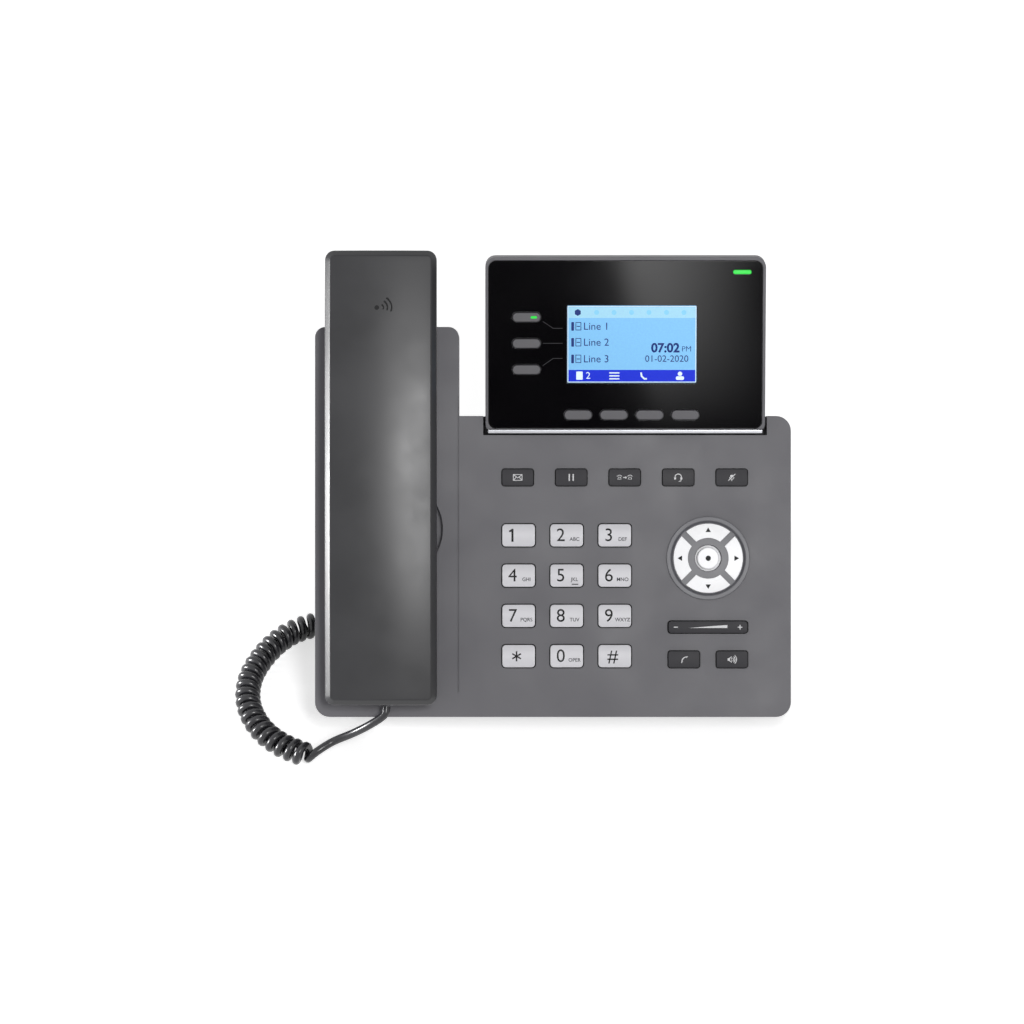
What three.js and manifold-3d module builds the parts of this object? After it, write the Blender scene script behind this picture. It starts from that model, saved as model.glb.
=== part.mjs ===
// Desk IP phone: a wedge of two plastic covers that leans back on a clip-on stand, with a
// corded handset lying in a cradle at the left, a raised display and its rubber-sprung keys.
// Millimetres, +Z up. The user sits at -Y, and the handset is at -X.
import * as THREE from "three";
import { mergeVertices } from "three/addons/utils/BufferGeometryUtils.js";
import Module from "manifold-3d";

const wasm = await Module();
wasm.setup();

// ---------------------------------------------------------------- driving dimensions
// The covers are drawn flat, in face coordinates: u to the right, v up the face from its lower
// edge, n out of it. The face group then tilts them.
const GAP = 0.3; // between pieces that rest on each other

const base = {
  width: 208, // across the two covers
  tilt: 42, // degrees from the desk to the face
  underWells: 1.5, // how far the top cover runs on below the cradle's wells
  bottomDepth: 13, // the bottom cover's share of the thickness
  wall: 2.4,
  bottomWall: 2.2,
  edge: 1.2, // chamfer round the face
  cornerRadius: 6.5,
  columnWidth: 62.9, // the raised column that carries the handset
  columnRise: 38.9, // how far the column runs on above the deck
  columnRadius: 4.5,
  columnOverlap: 40, // how far the column is drawn down into the deck
  grooveWidth: 0.9,
  grooveDepth: 0.8,
  grooveStart: 10.9,
};

const keys = {
  fit: 0.4, // between a cap and its hole
  brim: 0.8, // how far the flange reaches past the cap
  flange: 1.2,
  travel: 1.2,
  proud: 1.6,
  chamfer: 0.4,
};

const digitKey = { width: 14.4, height: 9.9, radius: 1.5 };
const functionKey = { width: 13.6, height: 7.2, radius: 1.0 };
const keypad = { fromGroove: 26.1, firstRow: 26.6, pitchU: 21, pitchV: 17.6 };
const functionRow = { aboveKeypad: 25.3, fromGroove: 25.7, fromRight: 25.9, toDeckEnd: 26.9 };
const callKeys = { firstFromRight: 46.8, pitch: 21, v: 25.2 };
const rocker = { width: 34.7, height: 5.15, radius: 1.2, fromRight: 36.3, v: 39.3, swing: 2 };
const nav = {
  fromRight: 36.2,
  v: 69.4,
  rimRadius: 18.2,
  bodyRadius: 16.6,
  rimHeight: 1.3,
  keyOuter: 15.3,
  keyInner: 8.7,
  spoke: 2.7,
  hole: 5.4,
  okRadius: 4.85,
  proud: 1.8,
};

const handset = {
  width: 48.5,
  length: 197.5,
  fromLeft: 29.1, // its centre line, from the left edge of the covers
  start: 5.7, // its lower end, above the face's lower edge
  low: 1.2, // underside over the deck
  endTop: 19,
  middleTop: 27,
  middleLow: 6.2,
  endFlat: 50, // how far each end runs before the handle arches up
  endRadius: 4,
  chamfer: 2,
  wall: 2.2,
  parting: 13,
};
const pad = { width: 40, length: 39, radius: 9, depth: 9.2, fromEnd: 24, clearance: 1, tubWall: 2 };
const receiver = { radius: 14, height: 7 };
const microphone = { radius: 5, height: 4.5 };
const scoop = { radius: 21.6, depth: 6, abovePad: 33, toRight: 5.2 };
const hook = { width: 7, flange: 10, flangeHeight: 1.4, length: 11, belowPad: 12, rise: 3 };
const hookPost = { width: hook.width, height: hook.width, radius: 1 };
const tab = { radius: 8, fit: 0.4, height: 2.4, pocket: 3, lip: 8, lipWidth: 2.4, belowHook: 20 };

const display = {
  fromGroove: 11.6, // its left edge, from the groove
  fromRight: 11.5,
  length: 77.4,
  depth: 13,
  steeper: 9, // degrees more upright than the face
  sunk: 7.9, // how far its lower end sits in the deck's notch
  proud: 4, // its front edge over the deck
  radius: 4.4,
  rim: 1.2,
  backWall: 2,
  notchFit: 1,
  neckInset: 9,
  neckClearance: 1,
};
const panel = { thickness: 2.5, fit: 0.3, radius: 3.2 };
const trim = { height: 2.2, inset: 0.8 };
const lcd = { width: 56.8, height: 34.3, x: 2.8, y: 39.3, frame: 3, depth: 5, sunk: 0.7 };
const softKey = { width: 12, height: 4.1, radius: 2.04, x: -20.6, y: 8.4, pitch: 15.6 };
const lineKey = { width: 12.2, height: 4, radius: 1.99, x: -43.1, y: 28.3, pitch: 11.5 };
const displayKeys = { proud: 0.9, travel: 0.8 };
const lamp = { width: 7.9, height: 1.7, radius: 0.84, x: 50.7, y: 71, proud: 0.2 };

const membrane = { thickness: 1.6, margin: 2 };
const board = { thickness: 1.6 };
const chips = { proud: 1.4, list: [[-20, 22, 14, 14], [6, 24, 10, 12], [24, 20, 8, 10]] };
const speaker = { radius: 18, height: 9, fromRight: 38, v: 30, slots: 7, slotWidth: 2, pitch: 4.4 };

// The two bays in the back, each with jacks behind its upper wall.
const bayWall = 2;
const bays = { length: 34, toStand: 4 };
const networkBay = { left: -40, right: 40 };
const audioBay = { fromLeft: 6, width: 36, depth: 11 };
const networkJack = { left: -36, width: 34, depth: 18, height: 13.5, mouth: 11.8, mouthHeight: 8, pitch: 16 };
const powerJack = { left: 14, width: 11, depth: 13, height: 11, hole: 3 };
const audioJack = { fromBay: 3, width: 30, depth: 16, height: 9.8, mouth: 7.8, mouthHeight: 6.6, pitch: 14 };
const portDepth = 12;

const stand = {
  width: 100,
  wall: 3,
  toDeckEnd: 5.6, // from its plate's upper edge to the deck's end
  plate: 32, // how far its plate runs down the covers' back
  footAhead: 1, // how far its foot stands behind the plate's upper edge
  footDepth: 16,
  window: 60,
  windowLow: 14,
  windowHigh: 50,
  release: 8, // how far it slides down to come off
};
const hooks = { spread: 88, rows: [8, 26], width: 7, neck: 4, lip: 4, thickness: 2, fit: 0.5 };
const feet = { rise: 2, height: 1.8, baseLength: 180, baseStart: 1, baseEnd: 9, inset: 2 };

const plug = { width: 7, height: 5.8, length: 17, inserted: 9, jackFit: 0.4 };
const cord = { wire: 3.6, coil: 11.5, sides: 8, coilSides: 12 };
const handsetPlug = { v: 5.4, n: 8, length: 11, fromCentre: 2.3 };

// Along the desk (x, y, z), with y = 0 below the face's lower edge.
const leadRoute = [
  [-72.6, -1.7, 30.5],
  [-73.6, -4.5, 28.0],
  [-80.0, -5.6, 22.6],
  [-87.6, -4.6, 15.6],
  [-95.0, -4.8, 11.2],
  [-100.6, -7.6, 9.9],
  [-104.1, -10.7, 9.7],
];
const coilRoute = [
  [-105.8, -9.8],
  [-119.3, -2.7],
  [-128.9, 7.3],
  [-134.2, 20.8],
  [-133.7, 35.5],
  [-127.2, 50.2],
  [-117.1, 61.4],
  [-104.0, 67.3],
  [-90.0, 70.0],
  [-76.0, 74.0],
  [-66.5, 84.0],
  [-64.0, 98.0],
  [-65.0, 114.0],
  [-73.0, 126.5],
  [-86.0, 128.0],
  [-95.0, 119.0],
  [-97.0, 107.0],
  [-97.0, 98.0],
];
const tailRoute = [
  [-87.0, 74.7, 63.6],
  [-87.1, 69.6, 58.8],
  [-87.5, 66.4, 51.5],
  [-88.6, 66.8, 41.0],
  [-90.6, 72.0, 28.5],
  [-94.0, 81.5, 16.5],
  [-96.6, 90.5, 10.6],
  [-97.0, 97.7, 9.7],
];

// ---------------------------------------------------------------- places worked out from them
const half = base.width / 2;
const groove = -half + base.columnWidth;
const keypadTop = keypad.firstRow + 3 * keypad.pitchV;
const functionV = keypadTop + functionRow.aboveKeypad;
const deckEnd = functionV + functionRow.toDeckEnd;
const columnEnd = deckEnd + base.columnRise;
const topDepth = pad.depth + GAP + pad.tubWall + base.underWells;
const backN = -topDepth - base.bottomDepth;
const tilt = THREE.MathUtils.degToRad(base.tilt);
const faceHeight = feet.rise - backN * Math.cos(tilt);

const flangeTop = -base.wall - keys.fit;
const membraneTop = flangeTop - keys.flange - keys.travel - GAP;
const boardTop = membraneTop - membrane.thickness - GAP;
const boardLow = boardTop - board.thickness;

const handsetU = -half + handset.fromLeft;
const handsetEnd = handset.start + handset.length;
const mouthPadV = handset.start + pad.fromEnd;
const earPadV = handsetEnd - pad.fromEnd;
const hookV = earPadV - pad.length / 2 - hook.belowPad;
const tabV = hookV - tab.belowHook;
const scoopU = handsetU + scoop.toRight;
const scoopV = mouthPadV + pad.length / 2 + scoop.abovePad;

const displayLeft = groove + display.fromGroove;
const displayRight = half - display.fromRight;
const displayWidth = displayRight - displayLeft;
const displayU = (displayLeft + displayRight) / 2;
const displayV = deckEnd - display.sunk;
const speakerU = half - speaker.fromRight;
const audioLeft = -half + audioBay.fromLeft;
const standEnd = deckEnd - stand.toDeckEnd;
const standStart = standEnd - stand.plate;
const bayHigh = standStart - bays.toStand;
const bayLow = bayHigh - bays.length;
const jackV = bayHigh + bayWall + GAP;
const networkDepth = boardLow - keys.fit - bayWall - backN;

// ---------------------------------------------------------------- solids
function solid(geometry, matrix = new THREE.Matrix4()) {
  const plain = geometry.index ? geometry.toNonIndexed() : geometry.clone();
  plain.deleteAttribute("normal");
  plain.deleteAttribute("uv");
  plain.applyMatrix4(matrix);
  const merged = mergeVertices(plain, 1e-4);
  const mesh = new wasm.Mesh({
    numProp: 3,
    vertProperties: merged.attributes.position.array,
    triVerts: new Uint32Array(merged.index.array),
  });
  return new wasm.Manifold(mesh);
}

function geometryOf(body) {
  const mesh = body.getMesh();
  const geometry = new THREE.BufferGeometry();
  geometry.setAttribute("position", new THREE.BufferAttribute(mesh.vertProperties, 3));
  geometry.setIndex(new THREE.BufferAttribute(mesh.triVerts, 1));
  geometry.computeVertexNormals();
  return geometry;
}

// A box between two corners.
function block(low, high) {
  const size = high.map((value, axis) => value - low[axis]);
  const centre = high.map((value, axis) => (value + low[axis]) / 2);
  return solid(new THREE.BoxGeometry(...size).translate(...centre));
}

// An upright cylinder, along n.
function disc(radius, low, high, u = 0, v = 0, sides = 24) {
  const geometry = new THREE.CylinderGeometry(radius, radius, high - low, sides);
  geometry.rotateX(Math.PI / 2).translate(u, v, (low + high) / 2);
  return solid(geometry);
}

function roundedRect(width, height, radius, u = 0, v = 0) {
  const shape = new THREE.Shape();
  const corner = Math.min(radius, width / 2 - 0.1, height / 2 - 0.1);
  const right = width / 2 - corner;
  const top = height / 2 - corner;
  shape.absarc(u + right, v - top, corner, -Math.PI / 2, 0);
  shape.absarc(u + right, v + top, corner, 0, Math.PI / 2);
  shape.absarc(u - right, v + top, corner, Math.PI / 2, Math.PI);
  shape.absarc(u - right, v - top, corner, Math.PI, Math.PI * 1.5);
  shape.closePath();
  return shape;
}

// A shape pulled out along n, with its edges chamfered where a chamfer is given.
function plate(shape, low, high, chamfer = 0, curveSegments = 4) {
  const geometry = new THREE.ExtrudeGeometry(shape, {
    depth: high - low - 2 * chamfer,
    bevelEnabled: chamfer > 0,
    bevelThickness: chamfer,
    bevelSize: chamfer,
    bevelOffset: -chamfer,
    bevelSegments: 1,
    curveSegments,
  });
  return solid(geometry.translate(0, 0, low + chamfer));
}

// Small corners need only two facets.
function rectPlate(size, low, high, u = 0, v = 0, grow = 0, chamfer = 0) {
  const { width, height, radius } = size;
  const shape = roundedRect(width + 2 * grow, height + 2 * grow, radius + grow, u, v);
  return plate(shape, low, high, chamfer, radius > 3 ? 4 : 2);
}

const group = new THREE.Group();
const phone = new THREE.Group();
const face = new THREE.Group();
const screen = new THREE.Group();
group.add(phone);
phone.add(face);
face.add(screen);
face.rotation.x = tilt;
face.position.z = faceHeight;
screen.rotation.x = THREE.MathUtils.degToRad(display.steeper);
screen.position.set(displayU, displayV, display.proud);
face.updateMatrixWorld(true);

function add(parent, name, body, color, roughness = 0.5, metalness = 0) {
  const material = new THREE.MeshStandardMaterial({ color, roughness, metalness });
  const mesh = new THREE.Mesh(geometryOf(body), material);
  mesh.name = name;
  parent.add(mesh);
}

const GREY = 0x65646a;
const DARK = 0x3f3e42;
const SILVER = 0xdcdbe0;
const BLACK = 0x0d0c0f;

// ---------------------------------------------------------------- covers
// The covers' outline: the deck and, at its left, the longer column, drawn in by an inset.
function outline(low, high, inset = 0, chamfer = 0) {
  const width = base.width - 2 * inset;
  const deckHeight = deckEnd - 2 * inset;
  const deck = roundedRect(width, deckHeight, base.cornerRadius - inset, 0, deckEnd / 2);
  const columnLow = deckEnd - base.columnOverlap;
  const columnHigh = columnEnd - inset;
  const column = roundedRect(
    base.columnWidth - 2 * inset,
    columnHigh - columnLow,
    base.columnRadius - inset,
    -half + base.columnWidth / 2,
    (columnLow + columnHigh) / 2,
  );
  return plate(deck, low, high, chamfer).add(plate(column, low, high, chamfer));
}

// The box that a handset pad drops into, open past the column's end for the ear pad.
function well(padV, grow, low, high, openEnd) {
  const size = { width: pad.width, height: pad.length, radius: pad.radius };
  const body = rectPlate(size, low, high, handsetU, padV, grow);
  if (!openEnd) return body;
  return body.add(rectPlate(size, low, high, handsetU, padV + pad.length / 2, grow));
}

const keyHoles = [];

function makeTopCover() {
  const parting = -topDepth;
  const margin = base.edge + 1;
  let cover = outline(parting - margin, 0, 0, base.edge);
  cover = cover.subtract(block([-half, 0, parting - margin], [half, columnEnd, parting]));
  cover = cover.subtract(outline(parting - margin, -base.wall, base.wall));

  const wellDepth = pad.depth + GAP;
  const tubGrow = pad.clearance + pad.tubWall;
  const tubLow = -wellDepth - pad.tubWall;
  const noTub = outline(parting - margin, 0, 0.01);
  const notchLeft = displayLeft - display.notchFit;
  const notchRight = displayRight + display.notchFit;
  const notchLow = displayV - display.notchFit / 2;
  const notchFloor = -base.wall / 2;
  const tubs = [
    well(mouthPadV, tubGrow, tubLow, -base.wall / 2, false),
    well(earPadV, tubGrow, tubLow, -base.wall / 2, true),
    disc(scoop.radius + pad.tubWall, -scoop.depth - pad.tubWall, -base.wall / 2, scoopU, scoopV, 32),
    disc(tab.radius + tab.fit + pad.tubWall, -tab.pocket - pad.tubWall, -base.wall / 2, handsetU, tabV),
    block(
      [notchLeft - base.wall, notchLow - base.wall, parting],
      [notchRight + base.wall, deckEnd, notchFloor],
    ),
  ];
  for (const tub of tubs) cover = cover.add(tub.intersect(noTub));

  const cuts = [
    well(mouthPadV, pad.clearance, -wellDepth, 1, false),
    well(earPadV, pad.clearance, -wellDepth, 1, true),
    disc(scoop.radius, -scoop.depth, 1, scoopU, scoopV, 32),
    disc(tab.radius + tab.fit, -tab.pocket, 1, handsetU, tabV),
    rectPlate(hookPost, -base.wall - 9, 1, handsetU, hookV, keys.fit),
    block([notchLeft, notchLow, parting - 1], [notchRight, deckEnd + 1, 1]),
    disc(nav.bodyRadius + keys.fit, -base.wall - 1, 1, half - nav.fromRight, nav.v, 32),
    block([groove - base.grooveWidth, base.grooveStart, -base.grooveDepth], [groove, deckEnd + 1, 1]),
    ...keyHoles,
  ];
  for (const cut of cuts) cover = cover.subtract(cut);
  add(face, "top_cover", cover, GREY, 0.5);
}

// A bay in the bottom cover, and the ports that open through its upper wall.
function bayBox(left, right, depth, grow = 0) {
  const low = [left - grow, bayLow - grow, backN - (grow ? 0 : 1)];
  const high = [right + grow, bayHigh + grow, backN + depth + grow];
  return block(low, high);
}

function portCuts(jack, left, top, count) {
  const cuts = [];
  for (let port = 0; port < count; port += 1) {
    const centre = left + jack.width / 2 + (port - (count - 1) / 2) * jack.pitch;
    const middle = top - jack.height / 2;
    const low = [centre - jack.mouth / 2, bayHigh - 1, middle - jack.mouthHeight / 2];
    const high = [centre + jack.mouth / 2, jackV + portDepth, middle + jack.mouthHeight / 2];
    cuts.push(block(low, high));
  }
  return cuts;
}

const networkTop = boardLow - GAP;
const audioTop = backN + audioBay.depth + bayWall - 0.6;
const networkPorts = portCuts(networkJack, networkJack.left, networkTop, 2);
const audioPorts = portCuts(audioJack, audioLeft + audioJack.fromBay, audioTop, 2);

function powerPort(grow = 0) {
  const radius = powerJack.hole + grow;
  const geometry = new THREE.CylinderGeometry(radius, radius, portDepth + 6, 20);
  const middle = networkTop - powerJack.height / 2;
  geometry.translate(powerJack.left + powerJack.width / 2, jackV + portDepth / 2 - 3, middle);
  return solid(geometry);
}

function makeBottomCover() {
  const top = -topDepth - GAP;
  const margin = base.edge + 1;
  let cover = outline(backN, top + margin, 0, base.edge);
  cover = cover.subtract(block([-half, 0, top], [half, columnEnd, top + margin]));
  cover = cover.subtract(outline(backN + base.bottomWall, top + margin, base.bottomWall));
  const bayList = [
    [networkBay.left, networkBay.right, networkDepth],
    [audioLeft, audioLeft + audioBay.width, audioBay.depth],
  ];
  for (const bay of bayList) cover = cover.add(bayBox(...bay, bayWall));
  for (const bay of bayList) cover = cover.subtract(bayBox(...bay));
  for (const cut of [...networkPorts, ...audioPorts, powerPort(1)]) cover = cover.subtract(cut);
  for (let slot = 0; slot < speaker.slots; slot += 1) {
    const offset = (slot - (speaker.slots - 1) / 2) * speaker.pitch;
    const reach = Math.sqrt((speaker.radius - 3) ** 2 - offset ** 2);
    const low = [speakerU - reach, speaker.v + offset - speaker.slotWidth / 2, backN - 1];
    const high = [speakerU + reach, speaker.v + offset + speaker.slotWidth / 2, backN + base.bottomWall + 1];
    cover = cover.subtract(block(low, high));
  }
  for (const side of [-1, 1]) {
    for (const row of hooks.rows) {
      const centre = (side * hooks.spread) / 2;
      const reach = hooks.width / 2 + hooks.fit;
      const low = [centre - reach, standStart + row - stand.release - hooks.fit, backN - 1];
      const high = [centre + reach, standStart + row + hooks.neck + hooks.fit, backN + base.bottomWall + 1];
      cover = cover.subtract(block(low, high));
    }
  }
  add(face, "bottom_cover", cover, DARK, 0.6);
}

// ---------------------------------------------------------------- keys
// A key is a cap through its hole and a flange behind the wall that keeps it in.
function keyBody(size, wallBack, proud, u = 0, v = 0, flangeDrop = 0) {
  const top = wallBack - keys.fit - flangeDrop;
  const low = top - keys.flange;
  const cap = rectPlate(size, low + 0.2, proud, u, v, 0, keys.chamfer);
  const reachU = size.width / 2 + keys.brim;
  const reachV = size.height / 2 + keys.brim;
  return cap.add(block([u - reachU, v - reachV, low], [u + reachU, v + reachV, top]));
}

function addDeckKey(name, size, u, v, color) {
  keyHoles.push(rectPlate(size, -base.wall - 1, 1, u, v, keys.fit));
  add(face, name, keyBody(size, -base.wall, keys.proud, u, v), color, 0.45);
}

function makeDeckKeys() {
  const digits = ["key_1", "key_2", "key_3", "key_4", "key_5", "key_6", "key_7", "key_8", "key_9"];
  digits.push("key_star", "key_0", "key_pound");
  digits.forEach((name, index) => {
    const u = groove + keypad.fromGroove + (index % 3) * keypad.pitchU;
    const v = keypadTop - Math.floor(index / 3) * keypad.pitchV;
    addDeckKey(name, digitKey, u, v, SILVER);
  });
  const functions = ["message_key", "hold_key", "transfer_key", "headset_key", "mute_key"];
  const first = groove + functionRow.fromGroove;
  const pitch = (half - functionRow.fromRight - first) / (functions.length - 1);
  functions.forEach((name, index) => {
    addDeckKey(name, functionKey, first + index * pitch, functionV, DARK);
  });
  ["send_key", "speaker_key"].forEach((name, index) => {
    addDeckKey(name, functionKey, half - callKeys.firstFromRight + index * callKeys.pitch, callKeys.v, DARK);
  });
}

function makeRocker() {
  const u = half - rocker.fromRight;
  const swing = THREE.MathUtils.degToRad(rocker.swing);
  const drop = (rocker.width / 2 + keys.brim) * Math.sin(swing);
  keyHoles.push(rectPlate(rocker, -base.wall - 1, 1, u, rocker.v, keys.fit));
  add(face, "volume_rocker", keyBody(rocker, -base.wall, keys.proud, u, rocker.v, drop), GREY, 0.45);
}

// A quarter of a ring between two radii, clear of the spokes beside it by a gap.
function sector(inner, outer, gap, turn) {
  const side = nav.spoke / 2 + gap;
  const shape = new THREE.Shape();
  const outerReach = Math.asin(side / outer);
  const innerReach = Math.asin(side / inner);
  const from = turn - Math.PI / 4;
  const to = turn + Math.PI / 4;
  shape.absarc(0, 0, outer, from + outerReach, to - outerReach, false);
  shape.absarc(0, 0, inner, to - innerReach, from + innerReach, true);
  shape.closePath();
  return shape;
}

function makeNavigation() {
  const centre = new THREE.Group();
  centre.position.set(half - nav.fromRight, nav.v, 0);
  face.add(centre);
  const flangeLow = flangeTop - keys.flange;
  const turns = { nav_right: 0, nav_up: Math.PI / 2, nav_left: Math.PI, nav_down: -Math.PI / 2 };
  let bezel = disc(nav.bodyRadius, -base.wall, nav.rimHeight, 0, 0, 32);
  bezel = bezel.add(disc(nav.rimRadius, GAP, nav.rimHeight, 0, 0, 32));
  bezel = bezel.subtract(disc(nav.keyOuter + GAP, GAP, nav.rimHeight + 1, 0, 0, 32));
  bezel = bezel.subtract(disc(nav.hole + GAP, -base.wall - 1, 1, 0, 0, 24));
  for (const [name, turn] of Object.entries(turns)) {
    const hole = sector(nav.keyInner - GAP, nav.keyOuter + GAP, 0, turn);
    bezel = bezel.subtract(plate(hole, -base.wall - 1, 1, 0, 4));
    const capOutline = sector(nav.keyInner, nav.keyOuter, GAP, turn);
    const cap = plate(capOutline, flangeLow + 0.2, nav.proud, 0.4, 4);
    const brim = sector(nav.keyInner - keys.brim, nav.keyOuter + keys.brim, GAP - keys.brim, turn);
    add(centre, name, cap.add(plate(brim, flangeLow, flangeTop, 0, 6)), SILVER, 0.4);
  }
  add(centre, "nav_bezel", bezel, DARK, 0.35);
  const ok = disc(nav.okRadius, flangeLow, nav.proud + 0.2, 0, 0, 24);
  const okBrim = disc(nav.hole + keys.brim, flangeLow, flangeTop, 0, 0, 24);
  add(centre, "nav_ok", ok.add(okBrim), SILVER, 0.4);
}

// ---------------------------------------------------------------- electronics
function makeInside() {
  const left = groove + base.grooveWidth + membrane.margin;
  const right = half - base.wall - membrane.margin;
  const low = base.wall + membrane.margin;
  const high = displayV - display.notchFit / 2 - base.wall - membrane.margin;
  const sheet = block([left, low, membraneTop - membrane.thickness], [right, high, membraneTop]);
  add(face, "keypad_membrane", sheet, 0x9a9aa0, 0.8);
  let card = block([left, low, boardLow], [right, high, boardTop]);
  for (const [u, v, width, height] of chips.list) {
    card = card.add(block([u, v, boardLow - chips.proud], [u + width, v + height, boardLow + 0.2]));
  }
  add(face, "main_board", card, 0x1f5a35, 0.6);

  const speakerLow = backN + base.bottomWall + GAP;
  const magnet = disc(speaker.radius * 0.5, speakerLow, speakerLow + speaker.height, speakerU, speaker.v, 24);
  const cone = disc(speaker.radius, speakerLow, speakerLow + speaker.height / 2, speakerU, speaker.v, 24);
  add(face, "loudspeaker", cone.add(magnet), 0x2a2a2c, 0.6, 0.2);

  const jackBody = (jack, start, top) =>
    block([start, jackV, top - jack.height], [start + jack.width, jackV + jack.depth, top]);
  let network = jackBody(networkJack, networkJack.left, networkTop);
  for (const port of networkPorts) network = network.subtract(port);
  add(face, "network_jacks", network, 0xb9bcc0, 0.35, 0.8);
  let audio = jackBody(audioJack, audioLeft + audioJack.fromBay, audioTop);
  for (const port of audioPorts) audio = audio.subtract(port);
  add(face, "audio_jacks", audio, 0x1c1c1e, 0.5);
  const power = jackBody(powerJack, powerJack.left, networkTop);
  add(face, "power_jack", power.subtract(powerPort()), 0x1c1c1e, 0.5);
}

// ---------------------------------------------------------------- display
function makeDisplay() {
  const size = { width: displayWidth, height: display.length, radius: display.radius };
  const middle = display.length / 2;
  const opening = {
    width: displayWidth - 2 * display.rim,
    height: display.length - display.rim - trim.height,
  };
  const openingY = (trim.height + display.length - display.rim) / 2;
  opening.radius = panel.radius + panel.fit;
  let shell = rectPlate(size, -display.depth, 0, 0, middle, 0, 0.8);
  shell = shell.subtract(rectPlate(opening, -display.depth + display.backWall, 1, 0, openingY));
  const trimHalf = displayWidth / 2 - trim.inset;
  shell = shell.subtract(block([-trimHalf, -1, -panel.thickness], [trimHalf, trim.height + 1, 1]));
  const toScreen = screen.matrix.clone().invert();
  const neckHigh = deckEnd - base.bottomWall - keys.fit;
  const neckEnd = backN + base.bottomWall + GAP + hooks.thickness + display.neckClearance;
  const neckLow = [displayLeft + display.neckInset, displayV + 1.5, neckEnd];
  const neckTop = [displayRight - display.neckInset, neckHigh, display.proud + 2.5 - display.depth];
  const neckSize = neckTop.map((value, axis) => value - neckLow[axis]);
  const neckCentre = neckTop.map((value, axis) => (value + neckLow[axis]) / 2);
  const neck = new THREE.BoxGeometry(...neckSize).translate(...neckCentre);
  shell = shell.add(solid(neck, toScreen));
  add(screen, "display_shell", shell, 0x6a6a6f, 0.5);

  const stripHalf = trimHalf - GAP;
  const stripLow = [-stripHalf, 0.2, -panel.thickness + GAP];
  const strip = block(stripLow, [stripHalf, trim.height - GAP, 0.2]);
  add(screen, "display_trim", strip, 0xd5d6da, 0.25, 0.9);

  let front = rectPlate(opening, -panel.thickness, 0, 0, openingY, -panel.fit, 0.3);
  front = front.subtract(rectPlate({ ...lcd, radius: 0.6 }, -panel.thickness - 1, 1, lcd.x, lcd.y));
  const keysOnPanel = [];
  for (let index = 0; index < 4; index += 1) {
    keysOnPanel.push(["softkey_" + (index + 1), softKey, softKey.x + index * softKey.pitch, softKey.y]);
  }
  for (let index = 0; index < 3; index += 1) {
    const lineV = lineKey.y + (2 - index) * lineKey.pitch;
    keysOnPanel.push(["line_key_" + (index + 1), lineKey, lineKey.x, lineV]);
  }
  for (const [name, key, x, y] of keysOnPanel) {
    front = front.subtract(rectPlate(key, -panel.thickness - 1, 1, x, y, keys.fit));
    add(screen, name, keyBody(key, -panel.thickness, displayKeys.proud, x, y), 0x5b5a5d, 0.5);
  }
  front = front.subtract(rectPlate(lamp, -panel.thickness - 1, 1, lamp.x, lamp.y, GAP));
  add(screen, "display_panel", front, BLACK, 0.08);
  const lens = rectPlate(lamp, -panel.thickness - 1, lamp.proud, lamp.x, lamp.y);
  add(screen, "message_light", lens, 0x32de4b, 0.3);

  const frame = { width: lcd.width + 2 * lcd.frame, height: lcd.height + 2 * lcd.frame, radius: 1 };
  const back = -panel.thickness - GAP;
  const module = rectPlate(frame, back - lcd.depth, back, lcd.x, lcd.y);
  const glass = rectPlate({ ...lcd, radius: 0.5 }, back - 1, -lcd.sunk, lcd.x, lcd.y, -GAP);
  add(screen, "lcd_module", module.add(glass), 0x80d1f5, 0.3);
}

// ---------------------------------------------------------------- handset
// The handset seen from its side, drawn in by an inset: x runs along v and y along n.
function handsetProfile(inset) {
  const low = handset.low + inset;
  const endTop = handset.endTop - inset;
  const start = handset.start + inset;
  const end = handsetEnd - inset;
  const middle = (start + end) / 2;
  const archTop = 2 * (handset.middleTop - inset) - endTop;
  const archLow = 2 * (handset.middleLow + inset) - low;
  const corner = Math.max(handset.endRadius - inset, 0.5);
  const shape = new THREE.Shape();
  shape.moveTo(start, low);
  shape.lineTo(start + handset.endFlat, low);
  shape.quadraticCurveTo(middle, archLow, end - handset.endFlat, low);
  shape.lineTo(end, low);
  shape.lineTo(end, endTop - corner);
  shape.quadraticCurveTo(end, endTop, end - corner, endTop);
  shape.quadraticCurveTo(middle, archTop, start + corner, endTop);
  shape.quadraticCurveTo(start, endTop, start, endTop - corner);
  shape.closePath();
  return shape;
}

function handsetSolid(inset, chamfer) {
  const width = handset.width - 2 * inset;
  const geometry = new THREE.ExtrudeGeometry(handsetProfile(inset), {
    depth: width - 2 * chamfer,
    bevelEnabled: chamfer > 0,
    bevelThickness: chamfer,
    bevelSize: chamfer,
    bevelOffset: -chamfer,
    bevelSegments: 1,
    curveSegments: 10,
  });
  geometry.translate(0, 0, chamfer - width / 2);
  const alongU = new THREE.Vector3(1, 0, 0);
  const alongV = new THREE.Vector3(0, 1, 0);
  const alongN = new THREE.Vector3(0, 0, 1);
  geometry.applyMatrix4(new THREE.Matrix4().makeBasis(alongV, alongN, alongU));
  return solid(geometry.translate(handsetU, 0, 0));
}

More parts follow.
